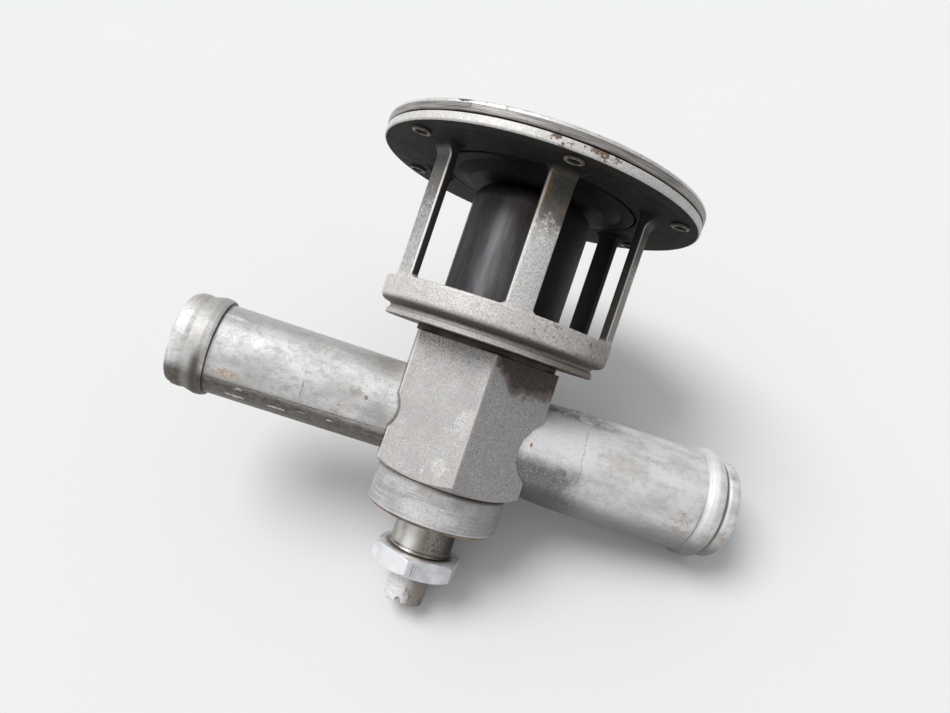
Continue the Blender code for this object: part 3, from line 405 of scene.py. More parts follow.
def satin_tube(name):
    """Drawn tube: fine pits, haze along its length, and cloudy darker places."""
    look = Finish(name, 0.4, 0.40, 0.4)
    haze = look.noise(3.2, 4, 0.6, (2.2, 1, 1), 3)
    pits = look.noise(0.30, 3, 0.7, shift=9)
    mottle = look.noise(0.85, 4, 0.7, (1.5, 1, 1), 21)
    look.ground(haze.ramp(0.36, 0.66), (0.70, 0.69, 0.68), (0.91, 0.905, 0.90))
    look.coat(mottle.ramp(0.47, 0.66) * 0.5, (0.46, 0.44, 0.415))
    look.coat(pits.ramp(0.56, 0.70) * 0.55, (0.30, 0.275, 0.25))
    reach = look.x.size().most(look.x.size() * 0.5 + look.y.size() * 0.866)
    across = reach - HALF_FLATS
    joint = across.ramp(0.40, 0.12)
    look.coat(joint * 0.75, (0.13, 0.105, 0.085))
    return look, haze, pits, mottle


def inlet_look():
    """Brown underside below a fine seam, deepened by painted shade, ochre patches, white scratches
    and a dull bead; painted shade also on top, at the bead's step and in the bore.
    """
    look, haze, pits, mottle = satin_tube("satin_inlet_tube")
    along = look.x * -1
    edge = look.noise(0.42, 4, 0.75, (2.2, 1, 1), 31)
    # Painted shade along the top of the tube.
    look.coat(look.z.ramp(4.4, 7.6) * 0.55, (0.37, 0.355, 0.335))
    # The underside brown with dirt and darkened further by painted shade.
    brown = mottle.ramp(0.40, 0.60).paint((0.13, 0.108, 0.08), (0.050, 0.041, 0.031))
    look.coat(look.z.ramp(-3.0, -5.2) * 0.93, brown)
    near_body = look.patch((-15.5, -7.0, -2.4), (2.6, 3.0, 2.6), mottle, 2.5)
    look.coat(near_body * 0.35, (0.34, 0.31, 0.28))
    spots = look.patches(edge, ((-17.65, -7.9, 0.45), (0.35, 0.6, 0.35), 2.5, 1.0),
                         ((-19.6, -7.9, 1.0), (1.2, 0.8, 0.7), 4.0, 0.4))
    look.coat(spots * 0.75, (0.27, 0.17, 0.11))
    front = look.y.ramp(-3.0, -5.5)
    crack_line = (look.x + 28.1 + (haze - 0.5) * 1.2).size()
    crack = crack_line.ramp(0.16, 0.05) * look.z.between(-3.2, 0.0, 0.3)
    seam_line = (look.z + 3.61 - look.x * 0.0193 + (haze - 0.5) * 0.3).size()
    seam = seam_line.ramp(0.15, 0.05).most(crack * 0.6) * front * along.ramp(44.2, 43.8)
    look.coat(seam * mottle.ramp(0.62, 0.42) * 0.85, (0.10, 0.085, 0.07))
    ochre = look.patches(edge, ((-40.6, -7.3, -2.9), (2.1, 1.6, 0.8), 4.5, 1.0),
                         ((-38.2, -6.2, -4.9), (0.7, 0.8, 0.3), 3.5, 1.0),
                         ((-21.7, -7.6, -1.9), (0.6, 0.8, 0.3), 3.5, 1.0),
                         ((-21.3, -7.1, -3.3), (0.7, 0.8, 0.4), 3.5, 1.0))
    look.coat(ochre * mottle.ramp(0.34, 0.50) * 0.85,
              pits.ramp(0.6, 0.4).paint((0.45, 0.33, 0.22), (0.86, 0.72, 0.59)))
    broken = look.noise(0.26, 3, 0.7, (3, 1, 1), 71).ramp(0.40, 0.52)
    scratch = look.patches(edge, ((-42.3, -5.0, 6.2), (2.0, 1.2, 0.24), 3.0, 1.0),
                           ((-24.4, -4.9, 6.3), (2.2, 1.0, 0.22), 3.0, 1.0),
                           ((-38.6, -4.6, -6.4), (1.4, 1.0, 0.22), 3.0, 1.0),
                           ((-31.5, -5.0, -6.2), (1.3, 1.0, 0.20), 3.0, 1.0),
                           ((-22.4, -5.8, -5.4), (0.6, 0.8, 0.11), 2.0, 1.0))
    scratch = scratch.most(look.noise(0.45, 2, 0.5, (8, 1, 1), 61).ramp(0.69, 0.72) * 0.6)
    look.coat(scratch * broken * 0.9, (0.92, 0.91, 0.90))
    bead = along.between(45.1, 48.0, 0.6)
    look.coat(bead * 0.45, (0.42, 0.40, 0.37))
    shaded = along.between(44.9, 46.5, 0.6) * look.z.ramp(1.0, -3.0)
    look.coat(shaded * 0.88, (0.10, 0.085, 0.062))
    # A painted shade line at the foot of the bead's step.
    step = along.between(44.27, 44.42, 0.05)
    look.coat(step * 0.9, (0.06, 0.055, 0.05))
    # Painted shade inside the bore.
    bore_shade = (look.y * look.y + look.z * look.z).ramp(50.0, 47.0)
    look.coat(bore_shade * 0.8, (0.16, 0.15, 0.14))
    rough = (haze - 0.5) * 0.28 + 0.42 - scratch * 0.1 + along.ramp(44.4, 44.8) * 0.15
    height = pits * 0.035 + look.noise(5.0, 2, shift=5) * 0.22 + mottle * 0.03 - seam * 0.12
    return look.finish(rough, height)


def outlet_look():
    """White rubs near the body, a soft dark stain below it and smudges towards the bead; a painted
    shadow on top by the body, painted shade underneath, at the bead's shoulder, in the groove and
    the bore, and a painted highlight on the bead.
    """
    look, haze, pits, mottle = satin_tube("satin_outlet_tube")
    edge = look.noise(0.45, 4, 0.75, shift=14)
    coarse = look.noise(1.5, 4, 0.7, shift=18)
    look.coat(haze.ramp(0.30, 0.60) * 0.5, (0.90, 0.90, 0.905))
    wander = (coarse - 0.5) * 5.0
    near = (look.x + wander).ramp(23.4, 20.8)
    white = near * look.z.ramp(-1.6, 0.6) * edge.ramp(0.28, 0.52)
    look.coat(white * 0.8, (0.92, 0.915, 0.91))
    low = (look.z + wander * 0.5).ramp(0.8, -2.0) * (look.x + wander * 1.5).ramp(24.0, 17.5)
    low = low * edge.ramp(0.22, 0.46)
    slate = edge.ramp(0.38, 0.62).paint((0.085, 0.080, 0.082), (0.30, 0.295, 0.30))
    look.coat(low * 0.93, slate)
    brown = low.most(look.x.ramp(26.0, 21.0)) * look.z.ramp(-4.2, -6.8) * edge.ramp(0.30, 0.55)
    look.coat(brown * 0.85, (0.055, 0.043, 0.034))
    # The cage's painted shadow on the top near the body, mottled with stain.
    crown_shadow_and_stain = look.z.ramp(7.3, 8.4) * look.x.ramp(30.0, 22.0) * coarse.ramp(0.30, 0.55)
    look.coat(crown_shadow_and_stain * 0.8, edge.ramp(0.4, 0.6).paint((0.15, 0.125, 0.105), (0.36, 0.33, 0.31)))
    ring_at = look.x - 21.0 + (haze - 0.5) * 1.6
    ring = ring_at.size().ramp(0.26, 0.05) * look.z.between(-2.6, 6.4, 0.6)
    look.coat(ring * edge.ramp(0.42, 0.56) * 0.6, (0.30, 0.29, 0.28))
    gleam = ring_at.between(0.5, 2.2, 0.4) * look.z.between(0.4, 6.6, 1.0) * coarse.ramp(0.3, 0.5)
    look.coat(gleam * 0.7, (0.95, 0.95, 0.95))
    smudge = look.patch((28.4, -8.9, 3.0), (5.0, 3.0, 2.4), coarse, 3.6)
    look.coat(smudge * edge.ramp(0.3, 0.6) * 0.4, (0.56, 0.50, 0.43))
    ochre = look.patches(edge, ((40.9, -9.1, -2.6), (1.7, 1.5, 1.1), 4.2, 1.0),
                         ((41.2, -8.1, -5.2), (2.4, 2.0, 1.5), 4.5, 0.7),
                         ((46.6, -9.0, -4.2), (1.0, 2.0, 1.6), 4.0, 0.8))
    look.coat(ochre * mottle.ramp(0.34, 0.60) * 0.6,
              edge.ramp(0.4, 0.6).paint((0.40, 0.28, 0.16), (0.58, 0.47, 0.35)))
    # Painted shade along the underside.
    look.coat(look.z.ramp(-2.8, -8.0) * 0.85, (0.15, 0.145, 0.14))
    joint_rust = look.patch((11.5, -8.9, 1.6), (0.3, 0.8, 0.45), edge, 3.0)
    look.coat(joint_rust * 0.8, (0.38, 0.19, 0.10))
    # A painted shadow line at the bead's shoulder, darker below.
    shoulder = look.x.between(44.1, 44.45, 0.1)
    look.coat(shoulder * (look.z.ramp(5.0, -5.0) * 0.5 + 0.2), (0.22, 0.21, 0.20))
    # A painted highlight on the upper side of the bead.
    bead = look.x.between(44.9, 46.5, 0.35) * look.z.ramp(-6.0, 0.0)
    look.coat(bead * 0.6, (0.93, 0.93, 0.92))
    # Painted shade in the groove by the lip.
    groove = look.x.between(47.9, 48.7, 0.15)
    look.coat(groove * 0.8, (0.10, 0.095, 0.09))
    lip = look.x.ramp(48.9, 49.2) * coarse.ramp(0.56, 0.64)
    look.coat(lip * 0.5, (0.42, 0.30, 0.20))
    # Painted shade inside the bore.
    bore_shade = (look.y * look.y + look.z * look.z).ramp(75.0, 72.0)
    look.coat(bore_shade * 0.8, (0.18, 0.17, 0.16))
    rough = (haze - 0.5) * 0.25 + 0.40 + low * 0.12 + look.x.ramp(44.4, 44.8) * 0.14
    height = pits * 0.03 + look.noise(7.0, 2, shift=8) * 0.2
    height = height + (white - low) * edge * 0.08 - ring * 0.02
    return look.finish(rough, height)


TUBE_ROOT = 9.55
INLET_BORE, INLET_RADIUS, INLET_END = 6.64, 7.94, 50.97
OUTLET_BORE, OUTLET_RADIUS, OUTLET_END = 8.125, 9.525, 51.3

inlet_tube = turned_piece("inlet_tube", [
    (INLET_BORE, TUBE_ROOT, 0.1), (7.34, TUBE_ROOT, 0.1), (7.34, 11.2, 0.1),
    (INLET_RADIUS, 11.3, 0.1), (INLET_RADIUS, 44.37, 0.05), (8.42, 44.37, 0.2), (8.66, 44.9, 0.8),
    (8.76, 45.9, 1.1), (8.50, 47.0, 1.2), (8.22, 47.9, 0.9), (8.36, 48.8, 0.9), (8.28, 49.8, 0.8),
    (7.75, INLET_END, 0.7), (6.9, INLET_END, 0.3), (INLET_BORE, 50.6, 0.3)],
    inlet_look(), along=-1)
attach(inlet_tube, "valve")
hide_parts("inlet_nipple")

outlet_tube = turned_piece("outlet_tube", [
    (OUTLET_BORE, TUBE_ROOT, 0.1), (8.985, TUBE_ROOT, 0.1), (8.985, 11.2, 0.1), (9.02, 11.3, 0.1),
    (9.03, 13.2, 4.0), (9.10, 15.0, 4.0), (9.275, 17.35, 4.0), (9.45, 19.7, 4.0),
    (OUTLET_RADIUS, 22.0, 4.0), (OUTLET_RADIUS, 44.2, 0.5), (9.66, 44.7, 0.4), (10.15, 45.15, 0.8),
    (10.43, 46.2, 1.3), (10.2, 47.3, 0.9), (9.75, 47.95, 0.3), (9.25, 48.2, 0.25),
    (9.2, 48.75, 0.25), (9.38, 49.2, 0.5), (9.3, 50.4, 0.7), (8.85, OUTLET_END, 0.5),
    (8.35, OUTLET_END, 0.25), (OUTLET_BORE, 50.9, 0.25)], outlet_look(), sides=160, along=1)
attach(outlet_tube, "valve")
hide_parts("outlet_nipple")


# Window cage
# One turned and milled aluminium piece: a foot ring with a rolled lip, six thin pillars and a wide
# flange. Its light grain is stained brown high on the pillars; painted shade darkens them there
# and on their unseen sides, blackens the underside of the flange and fills the cove, and painted
# highlights run on the pillar edges.

def cage_look():
    """Warm grain, grimed high up and in the groove under the bulge, with painted shade there,
    under the flange, on unseen sides and at the right, and pale worn pillar edges with a painted
    highlight.
    """
    look = Finish("blasted_cage", 0.3, 0.52, 0.15)
    grain = look.noise(0.24, 3, 0.7)
    coarse = look.noise(0.6, 3, 0.65, shift=13)
    cloud = look.noise(3.5, 3, 0.55, shift=4)
    edge = look.noise(1.6, 4, 0.65, shift=17)
    beside = look.beside(6)
    look.ground(grain.ramp(0.34, 0.62), (0.50, 0.475, 0.455), (0.87, 0.85, 0.83))
    look.coat(cloud.ramp(0.42, 0.66) * 0.4, (0.62, 0.575, 0.52))
    specks = coarse.ramp(0.55, 0.67) * (look.x.ramp(-8.0, 14.0) * 0.6 + 0.25)
    look.coat(specks, (0.24, 0.19, 0.155))
    post = look.z.ramp(22.0, 23.0) * look.radius.ramp(27.0, 25.5)
    left = look.x.ramp(-12.0, -15.0)
    grey = grain.ramp(0.32, 0.64).paint((0.44, 0.43, 0.42), (0.76, 0.75, 0.74))
    look.coat(post * 0.75, grey)
    # Darker patches on the left pillar; painted shade on the right pillar and towards the top of
    # the left one.
    look.coat(post * left * coarse.ramp(0.35, 0.65) * 0.45, (0.16, 0.15, 0.145))
    look.coat(post * look.x.ramp(14.0, 16.0) * 0.7, (0.13, 0.105, 0.08))
    tall = look.z + (edge - 0.5) * 8.0
    look.coat(post * left * look.z.ramp(25.0, 38.0) * 0.65, (0.12, 0.11, 0.105))
    # Brown grime high on the pillars, deepened to near black towards the flange by painted shade.
    grime = tall.ramp(32.5, 37.5) * post * (1 - left * 0.6)
    brown = tall.ramp(35.5, 41.5).paint((0.135, 0.110, 0.088), (0.024, 0.019, 0.014))
    look.coat(grime * 0.9, (coarse.ramp(0.45, 0.65) * 0.5).paint(brown, (0.085, 0.058, 0.036)))
    ochre = look.patch((-1.8, -21.1, 41.2), (0.6, 1.0, 2.3), coarse, 4.0).most(
        beside.between(-2.15, -1.6, 0.2) * look.z.between(33.5, 40.0, 1.5)
        * look.x.size().ramp(6.0, 4.0) * coarse.ramp(0.45, 0.6))
    look.coat(ochre * 0.7, (0.27, 0.16, 0.065))
    chips = look.noise(0.38, 2, 0.6, shift=23).ramp(0.57, 0.63)
    chips = chips * tall.between(32.0, 36.0, 1.0) * post
    look.coat(chips * 0.85, (0.90, 0.89, 0.88))
    # A painted highlight along the pillar edges, over rubs.
    rim_line = beside.size().between(1.82, 2.22, 0.10) * look.z.between(22.5, 43.0, 0.8)
    on_right = beside.ramp(-0.5, 0.5)
    strong = left * on_right + (1 - left) * (1 - on_right) * 0.55 + look.x.ramp(14.0, 16.0) * 0.2
    worn = rim_line * strong * edge.ramp(0.25, 0.45) * look.radius.ramp(20.5, 20.9)
    look.coat(worn * 0.95, (0.95, 0.94, 0.92))
    flecks = coarse.ramp(0.56, 0.64) * rim_line * look.x.ramp(14.0, 16.0)
    look.coat(flecks * 0.7, (0.52, 0.34, 0.15))
    # Painted shade on the pillars' side and inner faces and inside the foot ring.
    hidden_side_shade = look.z.between(22.2, 44.3, 0.3) * look.radius.ramp(27.0, 25.5) * (
        beside.size().ramp(2.20, 2.27).most(look.radius.ramp(20.8, 20.5)))
    inner = look.radius.ramp(20.2, 20.0) * look.z.ramp(18.8, 20.0)
    hidden_side_shade = hidden_side_shade.most(inner * look.z.ramp(24.0, 20.5) * 0.9)
    look.coat(hidden_side_shade * 0.95, (0.022, 0.019, 0.016))
    # Painted shade under the flange and in its bore.
    below = look.z.ramp(44.85, 44.65) * look.z.ramp(43.2, 44.3) * look.radius.ramp(29.14, 29.0)
    bore = look.radius.ramp(18.6, 18.3) * look.z.ramp(44.0, 44.4)
    below = below.most(bore)
    look.coat(below * 0.98,
              edge.ramp(0.30, 0.70).paint((0.010, 0.0095, 0.008), (0.023, 0.021, 0.0175)))
    # Dirt in the cove under the bulge, darkened by painted shade, more so towards the right.
    cove = look.z.between(16.75, 18.15, 0.45) * look.radius.ramp(21.15, 20.95)
    cove = cove.most(look.z.between(15.2, 18.6, 0.5) * look.x.ramp(6.0, 14.0) * 0.6)
    look.coat(cove * 0.92,
              grain.ramp(0.35, 0.65).paint((0.034, 0.027, 0.022), (0.095, 0.078, 0.064)))
    # Painted shade on the lip band, deeper towards the right.
    lip_band_shade = look.z.between(15.55, 16.7, 0.25) * look.radius.ramp(20.75, 20.4).most(0.55)
    lip_band_shade = lip_band_shade * look.z.ramp(17.2, 16.7)
    look.coat(lip_band_shade * (look.x.ramp(-2.0, 12.0) * 0.4 + 0.45), (0.25, 0.225, 0.205))
    # Painted shade at the right end of the foot ring.
    right_end_shade = look.x.ramp(7.0, 19.0) * look.z.ramp(23.0, 21.5) * look.y.ramp(4.0, -4.0)
    look.coat(right_end_shade * 0.65,
              coarse.ramp(0.4, 0.6).paint((0.25, 0.215, 0.185), (0.13, 0.105, 0.088)))
    lip = look.z.ramp(15.62, 15.49) * (edge.ramp(0.35, 0.60) * 0.6 + 0.3)
    look.coat(lip, (0.27, 0.145, 0.08))
    # Painted shade under the lip.
    look.coat(look.z.ramp(15.46, 15.43) * 0.8, (0.075, 0.060, 0.050))
    rim = look.radius.ramp(28.95, 29.1) * look.z.ramp(44.4, 44.55)
    look.coat(rim * 0.65, grain.ramp(0.35, 0.6).paint((0.70, 0.68, 0.66), (0.86, 0.85, 0.84)))
    pits = edge.ramp(0.45, 0.53) * rim
    pit_zone = look.patches(coarse, ((-3.1, -29.1, 45.5), (1.6, 2.0, 0.8), 2.5, 1.0),
                            ((3.6, -29.0, 45.6), (2.4, 2.0, 0.7), 2.5, 1.0)) + 0.06
    look.coat(pits * pit_zone * 0.9, (0.21, 0.12, 0.07))
    rough = (cloud - 0.5) * 0.2 + 0.52 + below * 0.2
    height = grain * 0.045 + look.noise(1.6, 2, shift=3) * 0.06
    height = height - specks * 0.04 - pits * pit_zone * 0.2
    metal = 0.3 - below.most(hidden_side_shade).most(grime) * 0.3
    return look.finish(rough, height, metal=metal)


PILLAR_AZIMUTHS = np.radians(np.arange(6) * 60 + 30)
PILLAR_HALF_WIDTH = 2.28
CAGE_RADIUS, CAGE_INSIDE = 21.16, 19.8
FOOT_TOP = 21.87
FLANGE_UNDER, FLANGE_TOP, FLANGE_RADIUS = 44.53, 45.98, 29.32


def flare(fillet, into):
    """How far a fillet has grown at a height into it: R - sqrt(R^2 - h^2)."""
    into = np.clip(into, 0, fillet * 0.995)
    return fillet - np.sqrt(fillet ** 2 - into ** 2)


def pillar(azimuth):
    """A thin pillar: a rounded rectangle carried up, flaring in fillets at foot and flange."""
    height = np.concatenate([np.linspace(21.3, 22.9, 12), np.linspace(23.5, 40.5, 8),
                             np.linspace(41.2, FLANGE_UNDER, 18), [FLANGE_UNDER + 0.7]])
    top_fillet, outer_fillet, foot_fillet, corner = 1.6, 2.5, 0.75, 0.28
    half = PILLAR_HALF_WIDTH + flare(top_fillet, height - (FLANGE_UNDER - top_fillet)) \
        + flare(foot_fillet, FOOT_TOP + foot_fillet - height)
    outer = CAGE_RADIUS + flare(outer_fillet, height - (FLANGE_UNDER - outer_fillet))
    turn = np.linspace(0, math.tau, 24, endpoint=False) + math.pi / 24
    side = np.sign(np.cos(turn)) * (half[:, None] - corner) + corner * np.cos(turn)
    deep = (outer - CAGE_INSIDE)[:, None] / 2
    radius = (outer + CAGE_INSIDE)[:, None] / 2 + np.sign(np.sin(turn)) * (deep - corner) \
        + corner * np.sin(turn)
    angle = azimuth - np.arcsin(side / radius)
    level = np.broadcast_to(height[:, None], radius.shape)
    points = np.stack([radius * np.cos(angle), radius * np.sin(angle), level], axis=-1)
    return points, rod_faces(*radius.shape)


foot_ring = turned(rounded([
    (12.65, 18.6, 0.1), (12.65, 15.4, 0.1), (19.30, 15.4, 0.12), (19.46, 15.52, 0.1),
    (19.41, 16.3, 0.12), (19.08, 16.5, 0.25), (18.96, 17.05, 0.3), (19.3, 17.35, 0.4),
    (20.2, 17.54, 0.5), (20.75, 17.85, 0.6), (21.12, 18.55, 1.0), (CAGE_RADIUS, 19.6, 1.0),
    (CAGE_RADIUS, FOOT_TOP, 0.35), (CAGE_INSIDE, FOOT_TOP, 0.3), (CAGE_INSIDE, 18.6, 0.9)],
    6), 192)
flange_disc = turned(rounded([
    (18.2, FLANGE_UNDER, 0.12), (FLANGE_RADIUS, FLANGE_UNDER, 0.35),
    (FLANGE_RADIUS, FLANGE_TOP, 0.2), (18.2, FLANGE_TOP, 0.1)], 6), 224)
window_cage = skin("window_cage", [foot_ring, flange_disc] + [pillar(a) for a in PILLAR_AZIMUTHS],
                   cage_look())
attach(window_cage, "valve")
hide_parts("cage")


# Cover plate
# A shallow turned aluminium cover with a rounded edge. Its edge has a painted highlight on top and
# is rubbed, with fine turning rings, a nick at the front and a small breathing hole beside the
# middle, which is only painted as a dark spot of shade.

def cover_look():
    """Fine turning rings and stains on top, a worn crest with a painted highlight, a striated edge
    below it, and painted shade under the lip and at the breathing hole.
    """
    look = Finish("turned_cover", 0.45, 0.42, 0.35)
    rings = look.noise(1.0, 2, 0.5, shift=2)
    wavy = (look.radius + (rings - 0.5) * 0.12) * 11.0
    ring = wavy.node("Math", {"operation": "SINE"}, {0: wavy})
    cloud = look.noise(7.0, 4, 0.6, shift=5)
    fine = look.noise(0.3, 3, 0.65, shift=1)
    edge = look.noise(1.1, 4, 0.7, shift=15)
    look.ground(cloud.ramp(0.35, 0.68), (0.56, 0.545, 0.53), (0.74, 0.73, 0.715))
    look.coat(fine.ramp(0.5, 0.7) * 0.3, (0.40, 0.385, 0.37))
    scuff = look.noise(0.7, 3, 0.6, (6, 1, 1), 12).ramp(0.64, 0.69)
    look.coat(scuff * 0.6, (0.85, 0.845, 0.84))
    stain = look.noise(9.0, 4, 0.65, shift=33).ramp(0.56, 0.72) * look.z.ramp(47.9, 48.0)
    look.coat(stain * 0.35, (0.33, 0.30, 0.26))
    # A painted highlight along the rounded crest of the edge.
    outside = look.radius.ramp(28.4, 28.9)
    crest = look.z.ramp(47.35, 47.55) * outside
    look.coat(crest * 0.75, edge.ramp(0.35, 0.65).paint((0.90, 0.89, 0.88), (0.66, 0.64, 0.61)))
    stripes = look.noise(0.13, 3, 0.6, (50, 50, 1), 3)
    band = look.z.ramp(47.34, 47.22) * outside
    look.coat(band * 0.9, stripes.ramp(0.38, 0.62).paint((0.15, 0.135, 0.12), (0.46, 0.44, 0.42)))
    line = look.z.between(47.24, 47.36, 0.04) * outside
    look.coat(line * 0.8, (0.09, 0.08, 0.07))
    rub = edge.ramp(0.60, 0.66) * outside
    look.coat(rub * 0.5, (0.20, 0.14, 0.10))
    nick = look.patch((-17.4, -23.3, 48.1), (1.3, 1.1, 0.5), edge, 1.5)
    look.coat(nick * 0.9, (0.045, 0.038, 0.034))
    # Painted shade under the cover's lip.
    under = look.z.ramp(46.55, 46.44) * look.radius.ramp(29.25, 29.0)
    look.coat(under * 0.9, (0.035, 0.032, 0.03))
    # The breathing hole is only painted: a dark spot of painted shade.
    hole = look.away((9.0, 0.0, 48.03))
    look.coat(hole.ramp(0.95, 0.8) * 0.95, (0.02, 0.02, 0.02))
    rough = (cloud - 0.5) * 0.25 + 0.42
    height = ring * 0.006 + fine * 0.02 - nick * 0.4 - rub * 0.05 + stripes * band * 0.04
    return look.finish(rough, height)


COVER_TOP, COVER_PAN, COVER_UNDER, COVER_LIP = 48.03, 47.13, 46.45, 46.22

cover_disc = turned_piece("cover_disc", [
    (0.0, COVER_TOP, 0.01), (0.0, COVER_PAN, 0.01), (18.15, COVER_PAN, 0.1),
    (18.45, COVER_UNDER, 0.1), (28.45, COVER_UNDER, 0.1), (28.6, COVER_LIP, 0.1),
    (29.36, COVER_LIP, 0.2), (29.42, 47.2, 0.5), (29.34, COVER_TOP, 0.75)],
    cover_look(), 7, 224)
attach(cover_disc, "valve")
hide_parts("cover_plate")


# Cover rivets
# Six semi-tubular steel rivets over the pillars: low round heads on the cover, and hollow ends
# rolled over to small rings under the flange. They hold cover, rubber and flange together.

RIVET_CIRCLE = 26.2


def rivet_look():
    """Dull steel heads, and brown ends deepened by painted shade, with a painted highlight on
    their rolled rings and painted shade in their hollows.
    """
    look = Finish("rivet_steel", 0.6, 0.45, 0.3)
    fine = look.noise(0.4, 3, 0.6)
    look.ground(fine.ramp(0.35, 0.65), (0.30, 0.285, 0.27), (0.52, 0.50, 0.48))
    # The ends under the flange brown, darkened further by painted shade.
    low = look.z.ramp(45.0, 44.5)
    look.coat(low * 0.9, fine.ramp(0.4, 0.6).paint((0.050, 0.042, 0.035), (0.11, 0.094, 0.078)))
    # A painted highlight on the rolled rings.
    rolled_ring_highlight = look.z.ramp(44.10, 44.00) * look.noise(0.9, 2, shift=4).ramp(0.38, 0.55)
    look.coat(rolled_ring_highlight * 0.75, (0.44, 0.41, 0.38))
    # Painted shade in the rivets' open ends.
    off, out = look.beside(6), look.radius - RIVET_CIRCLE
    hollow_shade = (off * off + out * out).ramp(1.15, 0.75) * low
    look.coat(hollow_shade, (0.012, 0.010, 0.009))
    return look.finish(fine * 0.25 + 0.35, fine * 0.03, 0.6 - low.most(hollow_shade) * 0.55)


RIVET_OUTLINE = rounded([
    (0.0, 48.98, 0.01), (0.0, 45.6, 0.01), (0.95, 45.6, 0.05), (1.0, 44.15, 0.1),
    (1.25, 43.97, 0.12), (1.62, 44.08, 0.14), (1.64, 44.4, 0.05), (1.1, 44.4, 0.05),
    (1.1, 48.2, 0.05), (2.08, 48.08, 0.05), (2.1, 48.2, 0.1), (1.5, 48.44, 0.5),
    (0.8, 48.76, 0.6)], 4)


def rivet(azimuth):
    """One rivet: the turned outline, moved out over a pillar."""
    points, faces = turned(RIVET_OUTLINE, 28)
    return points + RIVET_CIRCLE * np.array([math.cos(azimuth), math.sin(azimuth), 0]), faces


rivet_set = skin("rivet_set", [rivet(azimuth) for azimuth in PILLAR_AZIMUTHS], rivet_look())
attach(rivet_set, "valve")
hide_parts(*[f"cover_rivet_{i}" for i in range(1, 7)])


# Diaphragm
# A moulded rubber disc. Its rim shows as a dark line between flange and cover, and its middle is
# dished, with a slope between rim and middle.

def rubber_look(name, dust, grime=0.0):
    """Matt black with a little dust, and brown grime where it lies open to the air."""
    look = Finish(name, 0.0, 0.7)
    fine = look.noise(0.5, 3, 0.6)
    cloud = look.noise(3.0, 3, 0.6, shift=6)
    look.ground(cloud.ramp(0.35, 0.7), (0.018, 0.017, 0.016), (0.034, 0.032, 0.030))
    look.coat(cloud.ramp(0.25, 0.55) * grime, (0.090, 0.070, 0.055))
    look.coat(fine.ramp(0.58, 0.7) * dust, (0.11, 0.10, 0.09))
    return look.finish(cloud * 0.2 + 0.6, fine * 0.02)


STUD_HOLE = 2.05
RUBBER_RADIUS = 28.4

rubber_disc = turned_piece("rubber_disc", [
    (STUD_HOLE, 44.6, 0.05), (STUD_HOLE, 44.15, 0.05), (12.8, 44.15, 0.3), (15.3, 45.25, 0.3),
    (16.9, 45.25, 0.2), (18.35, 46.02, 0.2), (RUBBER_RADIUS, 46.02, 0.12),
    (RUBBER_RADIUS, 46.41, 0.12), (18.1, 46.41, 0.3), (16.8, 45.7, 0.3), (15.1, 45.7, 0.3),
    (12.7, 44.6, 0.3)], rubber_look("diaphragm_rubber", 0.3), 4, 160)
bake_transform(rubber_disc)
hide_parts("diaphragm")


# Diaphragm plates, lift stud and its nut
# A dark pressed dish under the rubber and a plain disc over it, pulled together through the cup by
# a countersunk stud. The stud has an eye at its end for the spring.

def dark_plate_look():
    """Near black with a faint olive cast and a little dust: painted shade, as dark as the shade
    under the flange.
    """
    look = Finish("shade_black_plate", 0.0, 0.65, 0.08)
    fine = look.noise(0.35, 3, 0.6)
    cloud = look.noise(4.0, 4, 0.6, shift=9)
    # A near-black base that stands for the shade under the flange.
    look.ground(cloud.ramp(0.35, 0.7), (0.009, 0.009, 0.0075), (0.021, 0.020, 0.017))
    look.coat(fine.ramp(0.60, 0.72) * 0.4, (0.075, 0.070, 0.060))
    return look.finish(cloud * 0.25 + 0.45, fine * 0.02)


def plated_look(name, tone, rough):
    """Plated or turned metal of one tone, a little cloudy, with dull specks."""
    look = Finish(name, 0.85, rough)
    fine = look.noise(0.3, 3, 0.6)
    cloud = look.noise(1.8, 3, 0.6, shift=3)
    look.ground(cloud.ramp(0.35, 0.68), [c * 0.72 for c in tone], tone)
    look.coat(fine.ramp(0.60, 0.72) * 0.3, (0.25, 0.22, 0.19))
    return look.finish(fine * 0.2 + rough - 0.1, fine * 0.015)


dish_plate = turned_piece("dish_plate", [
    (STUD_HOLE, 43.35, 0.05), (12.8, 43.35, 0.5), (15.3, 44.45, 0.5), (17.75, 44.45, 0.12),
    (17.75, 45.0, 0.12), (15.1, 45.0, 0.4), (12.6, 43.9, 0.4), (STUD_HOLE, 43.9, 0.05)],
    dark_plate_look(), sides=160)
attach(dish_plate, "lift")
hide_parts("lower_diaphragm_plate")

inner_steel = plated_look("inner_plated_steel", (0.60, 0.61, 0.62), 0.36)
for node in ("upper_diaphragm_plate", "lift_stud", "lift_nut"):
    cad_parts[node].material_slots[0].material = inner_steel


# Valve cup
# A deep-drawn cup, dark from age, with a rounded shoulder and an open foot that closes on the
# rubber seat. It has soft streaks along its height and a painted highlight to the left.

